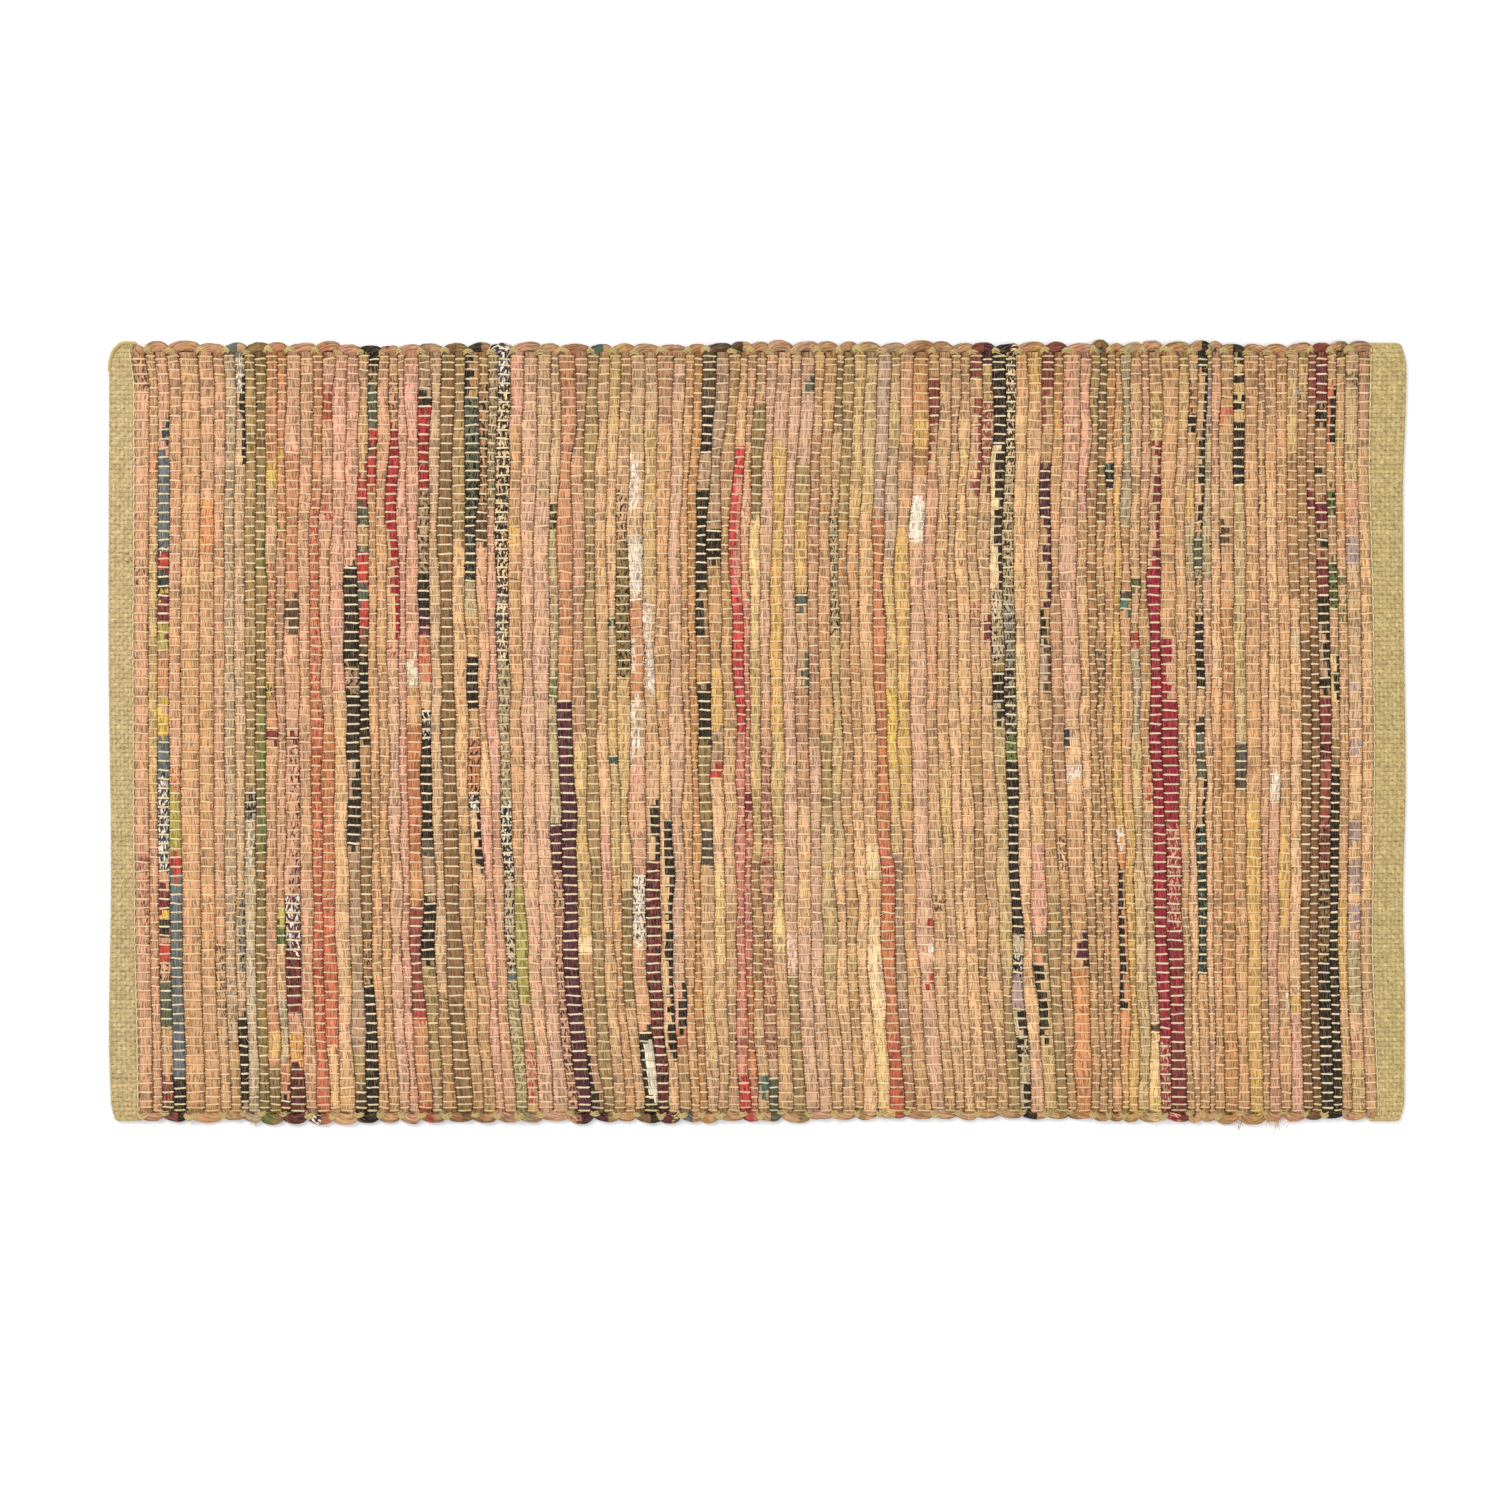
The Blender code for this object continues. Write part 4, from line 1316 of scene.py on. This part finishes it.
LINT = (0.66, 0.47, 0.30, 1.0)  # the stray threads' colour
DEEP = (0.24, 0.14, 0.06, 1.0)  # what the grooves leave of the light
LINT_SHARE = 0.30
WARP_TWIST = (5200.0, 2600.0)  # the plies' angle a metre, along the yarn and around it
CORD_TWIST = (2600.0, 1500.0)
# what the painted shade low on the warp yarn and on the cords leaves of the light
WARP_DEEP = (0.50, 0.40, 0.28, 1.0)
CORD_DEEP = (0.60, 0.52, 0.40, 1.0)


def rag_material(name, fibres, grooves, bottom, top):
    """Torn cotton: the cloth's own colour with flecks and stray threads, its lengthwise folds and creases as
    bumps and as painted shade, and painted shade low in the grooves.
    """
    material, tree, shader = fresh_material(name, 0.9)
    place = thread_map(tree)
    ground, fleck = own_cloth(tree, "cloth"), own_cloth(tree, "fleck")
    creases = placed_group(tree, fibres, Map=place, Along=110.0, Across=1500.0)
    slits = placed_group(tree, fibres, Map=place, Along=90.0, Across=1050.0)
    folds = placed_group(tree, fibres, Map=place, Along=80.0, Across=1400.0)
    threads = placed_group(tree, fibres, Map=place, Along=95.0, Across=2300.0)
    spots = noise(tree, multiplied(tree, place, (220.0, 620.0, 1.0)), 2.0, 0.55)
    needed = sums(tree, "SUBTRACT", 0.63, times(tree, fleck.outputs["Alpha"], 0.27))
    past = sums(tree, "SUBTRACT", spots, needed)
    spotted = sums(tree, "MULTIPLY", past, 14.0, True)
    cloth = mixed(tree, spotted, ground.outputs["Color"], fleck.outputs["Color"])
    # the creases' fine streaks, partly the cloth's own streaks and partly painted shade, make it lighter and
    # darker; the broad streaks are its own unevenness
    tone = ranged(tree, creases.outputs["Fine"], 0.36, 0.64, 0.80, 1.16)
    tone = times(tree, tone, ranged(tree, creases.outputs["Broad"], 0.34, 0.66, 0.91, 1.08))
    # painted shade along the slits and along the fold lines
    tone = times(tree, tone, ranged(tree, slits.outputs["Fine"], 0.60, 0.68, 1.0, 0.72))
    off_fold = sums(tree, "ABSOLUTE", sums(tree, "SUBTRACT", folds.outputs["Broad"], 0.5), 0.0)
    tone = times(tree, tone, ranged(tree, off_fold, 0.0, 0.050, 0.36, 1.0))
    lint = ranged(tree, threads.outputs["Fine"], 0.56, 0.64, 0.0, LINT_SHARE)
    shade = placed_group(tree, grooves, Bottom=bottom, Top=top, Deep=DEEP)
    linted = mixed(tree, lint, tinted(tree, cloth, tone), LINT)
    tree.links.new(multiplied(tree, linted, shade.outputs["Tint"]), shader.inputs["Base Color"])
    tree.links.new(ranged(tree, creases.outputs["Fine"], 0.3, 0.7, 0.95, 0.82), shader.inputs["Roughness"])
    folded = times(tree, ranged(tree, off_fold, 0.0, 0.05, 0.0, 1.0), 0.5)
    bumped(tree, shader, sums(tree, "ADD", creases.outputs["Relief"], folded), 0.75, 0.0011)
    return material


def yarn_material(name, fibres, grooves, twist, bottom, top, deep):
    """Spun cotton yarn: plies that wind round it by its twist along and around, with fine fibres, painted
    shade between its plies and painted shade low down where it dips.
    """
    twist_along, twist_around = twist
    material, tree, shader = fresh_material(name, 0.88)
    place = thread_map(tree)
    ground = own_cloth(tree, "cloth")
    strands = placed_group(tree, fibres, Map=place, Along=500.0, Across=2600.0)
    apart = add_node(tree, "ShaderNodeSeparateXYZ", (), Vector=place)
    along, around = apart.outputs[0], apart.outputs[1]
    wound = sums(tree, "ADD", times(tree, along, twist_along), times(tree, around, twist_around))
    plies = sums(tree, "SINE", wound, 0.0)
    tone = ranged(tree, strands.outputs["Fine"], 0.3, 0.7, 0.86, 1.10)
    # the plies' pattern, partly their own and partly painted shade between them
    tone = times(tree, tone, ranged(tree, plies, -1.0, 1.0, 0.88, 1.06))
    shade = placed_group(tree, grooves, Bottom=bottom, Top=top, Deep=deep)
    shown = multiplied(tree, tinted(tree, ground.outputs["Color"], tone), shade.outputs["Tint"])
    tree.links.new(shown, shader.inputs["Base Color"])
    tree.links.new(ranged(tree, strands.outputs["Broad"], 0.3, 0.7, 0.95, 0.82), shader.inputs["Roughness"])
    height = sums(tree, "ADD", times(tree, plies, 0.4), strands.outputs["Fine"])
    bumped(tree, shader, height, 0.4, 0.0003)
    return material


def hem_material(fibres):
    """The yarn-woven header: a plain weave whose yarns go over and under each other, with painted shade in
    its pinholes and between its crossings.
    """
    material, tree, shader = fresh_material("woven_header", 0.9)
    place = add_node(tree, "ShaderNodeTexCoord").outputs["Object"]
    ground = own_cloth(tree, "cloth")
    strands = placed_group(tree, fibres, Map=place, Along=420.0, Across=420.0)
    hole_shade_share = own_cloth(tree, "pinhole").outputs["Fac"]
    # painted shade in the pinholes and between crossings, and a little lighter on the crowns
    tone = ranged(tree, hole_shade_share, 0.0, 0.85, 1.08, 0.36)
    tone = times(tree, tone, ranged(tree, strands.outputs["Fine"], 0.3, 0.7, 0.84, 1.16))
    tone = times(tree, tone, ranged(tree, strands.outputs["Broad"], 0.35, 0.65, 0.90, 1.08))
    tree.links.new(tinted(tree, ground.outputs["Color"], tone), shader.inputs["Base Color"])
    tree.links.new(ranged(tree, strands.outputs["Broad"], 0.3, 0.7, 0.96, 0.84), shader.inputs["Roughness"])
    bumped(tree, shader, strands.outputs["Fine"], 0.5, 0.0004)
    return material


def build_rug():
    fibres, grooves = fibre_group(), groove_group()
    rags = rag_material("torn_rags", fibres, grooves, 0.0034, 0.0054)
    turned = rag_material("turned_rags", fibres, grooves, 0.0004, 0.0036)
    yarn = yarn_material("warp_yarn", fibres, grooves, WARP_TWIST, 0.0024, 0.0042, WARP_DEEP)
    cord = yarn_material("header_yarn", fibres, grooves, CORD_TWIST, 0.0008, 0.0034, CORD_DEEP)
    header = hem_material(fibres)
    for number, strands in enumerate(rag_strips(), 1):
        piece(f"rag_strips_{number}", strands.mesh(f"rag_strips_{number}"), rags)
    for number, strands in enumerate(warp_yarns(), 1):
        piece(f"warp_yarns_{number}", strands.mesh(f"warp_yarns_{number}"), yarn)
    piece("selvedge_turns", selvedge_turns().mesh("selvedge_turns"), turned)
    piece("selvedge_bundles", selvedge_bundles().mesh("selvedge_bundles"), cord)
    piece("left_hem", hem_mesh("left_hem", -1.0), header)
    piece("right_hem", hem_mesh("right_hem", 1.0), header)
    piece("hem_cords", hem_cords().mesh("hem_cords"), cord)
    piece("frayed_threads", frayed_threads().mesh("frayed_threads"), cord)


# The stage: a plain pale floor, soft light from all round and the camera straight above.
CAMERA_X = -0.0054
CAMERA_Y = -0.0139
FRAME_WIDTH = 1.1575
LENS = 85.0
SENSOR = 36.0
FLOOR_SIZE = 8.0
FLOOR_COLOUR = (0.96, 0.96, 0.96, 1.0)
SKY_STRENGTH = 0.70
Lamp = namedtuple("Lamp", "name place size watts")
LAMPS = (
    Lamp("window_side", (-1.5, 1.4, 2.1), 1.4, 46.0),
    Lamp("other_side", (1.7, -1.2, 2.3), 2.0, 24.0),
)


def stage_floor():
    bm = bmesh.new()
    bmesh.ops.create_grid(bm, x_segments=1, y_segments=1, size=FLOOR_SIZE / 2.0)
    mesh = bpy.data.meshes.new("floor")
    bm.to_mesh(mesh)
    bm.free()
    floor = bpy.data.objects.new("floor", mesh)
    bpy.context.scene.collection.objects.link(floor)
    material, _, shader = fresh_material("floor_paper", 1.0)
    shader.inputs["Base Color"].default_value = FLOOR_COLOUR
    shader.inputs["Specular IOR Level"].default_value = 0.0
    mesh.materials.append(material)


def lights():
    world = bpy.data.worlds.new("soft_sky")
    world.use_nodes = True
    sky = world.node_tree.nodes["Background"]
    sky.inputs["Color"].default_value = (1.0, 1.0, 1.0, 1.0)
    sky.inputs["Strength"].default_value = SKY_STRENGTH
    bpy.context.scene.world = world
    for lamp in LAMPS:
        light = bpy.data.lights.new(lamp.name, "AREA")
        light.size = lamp.size
        light.energy = lamp.watts
        holder = bpy.data.objects.new(lamp.name, light)
        holder.location = lamp.place
        holder.rotation_euler = (-Vector(lamp.place)).to_track_quat("-Z", "Y").to_euler()
        bpy.context.scene.collection.objects.link(holder)


def camera():
    lens = bpy.data.cameras.new("above")
    lens.lens = LENS
    lens.sensor_width = SENSOR
    holder = bpy.data.objects.new("above", lens)
    holder.location = (CAMERA_X, CAMERA_Y, FRAME_WIDTH * LENS / SENSOR)
    bpy.context.scene.collection.objects.link(holder)
    bpy.context.scene.camera = holder


def main():
    bpy.context.scene.view_settings.view_transform = "Standard"
    build_rug()
    stage_floor()
    lights()
    camera()
    bpy.context.view_layer.update()


main()
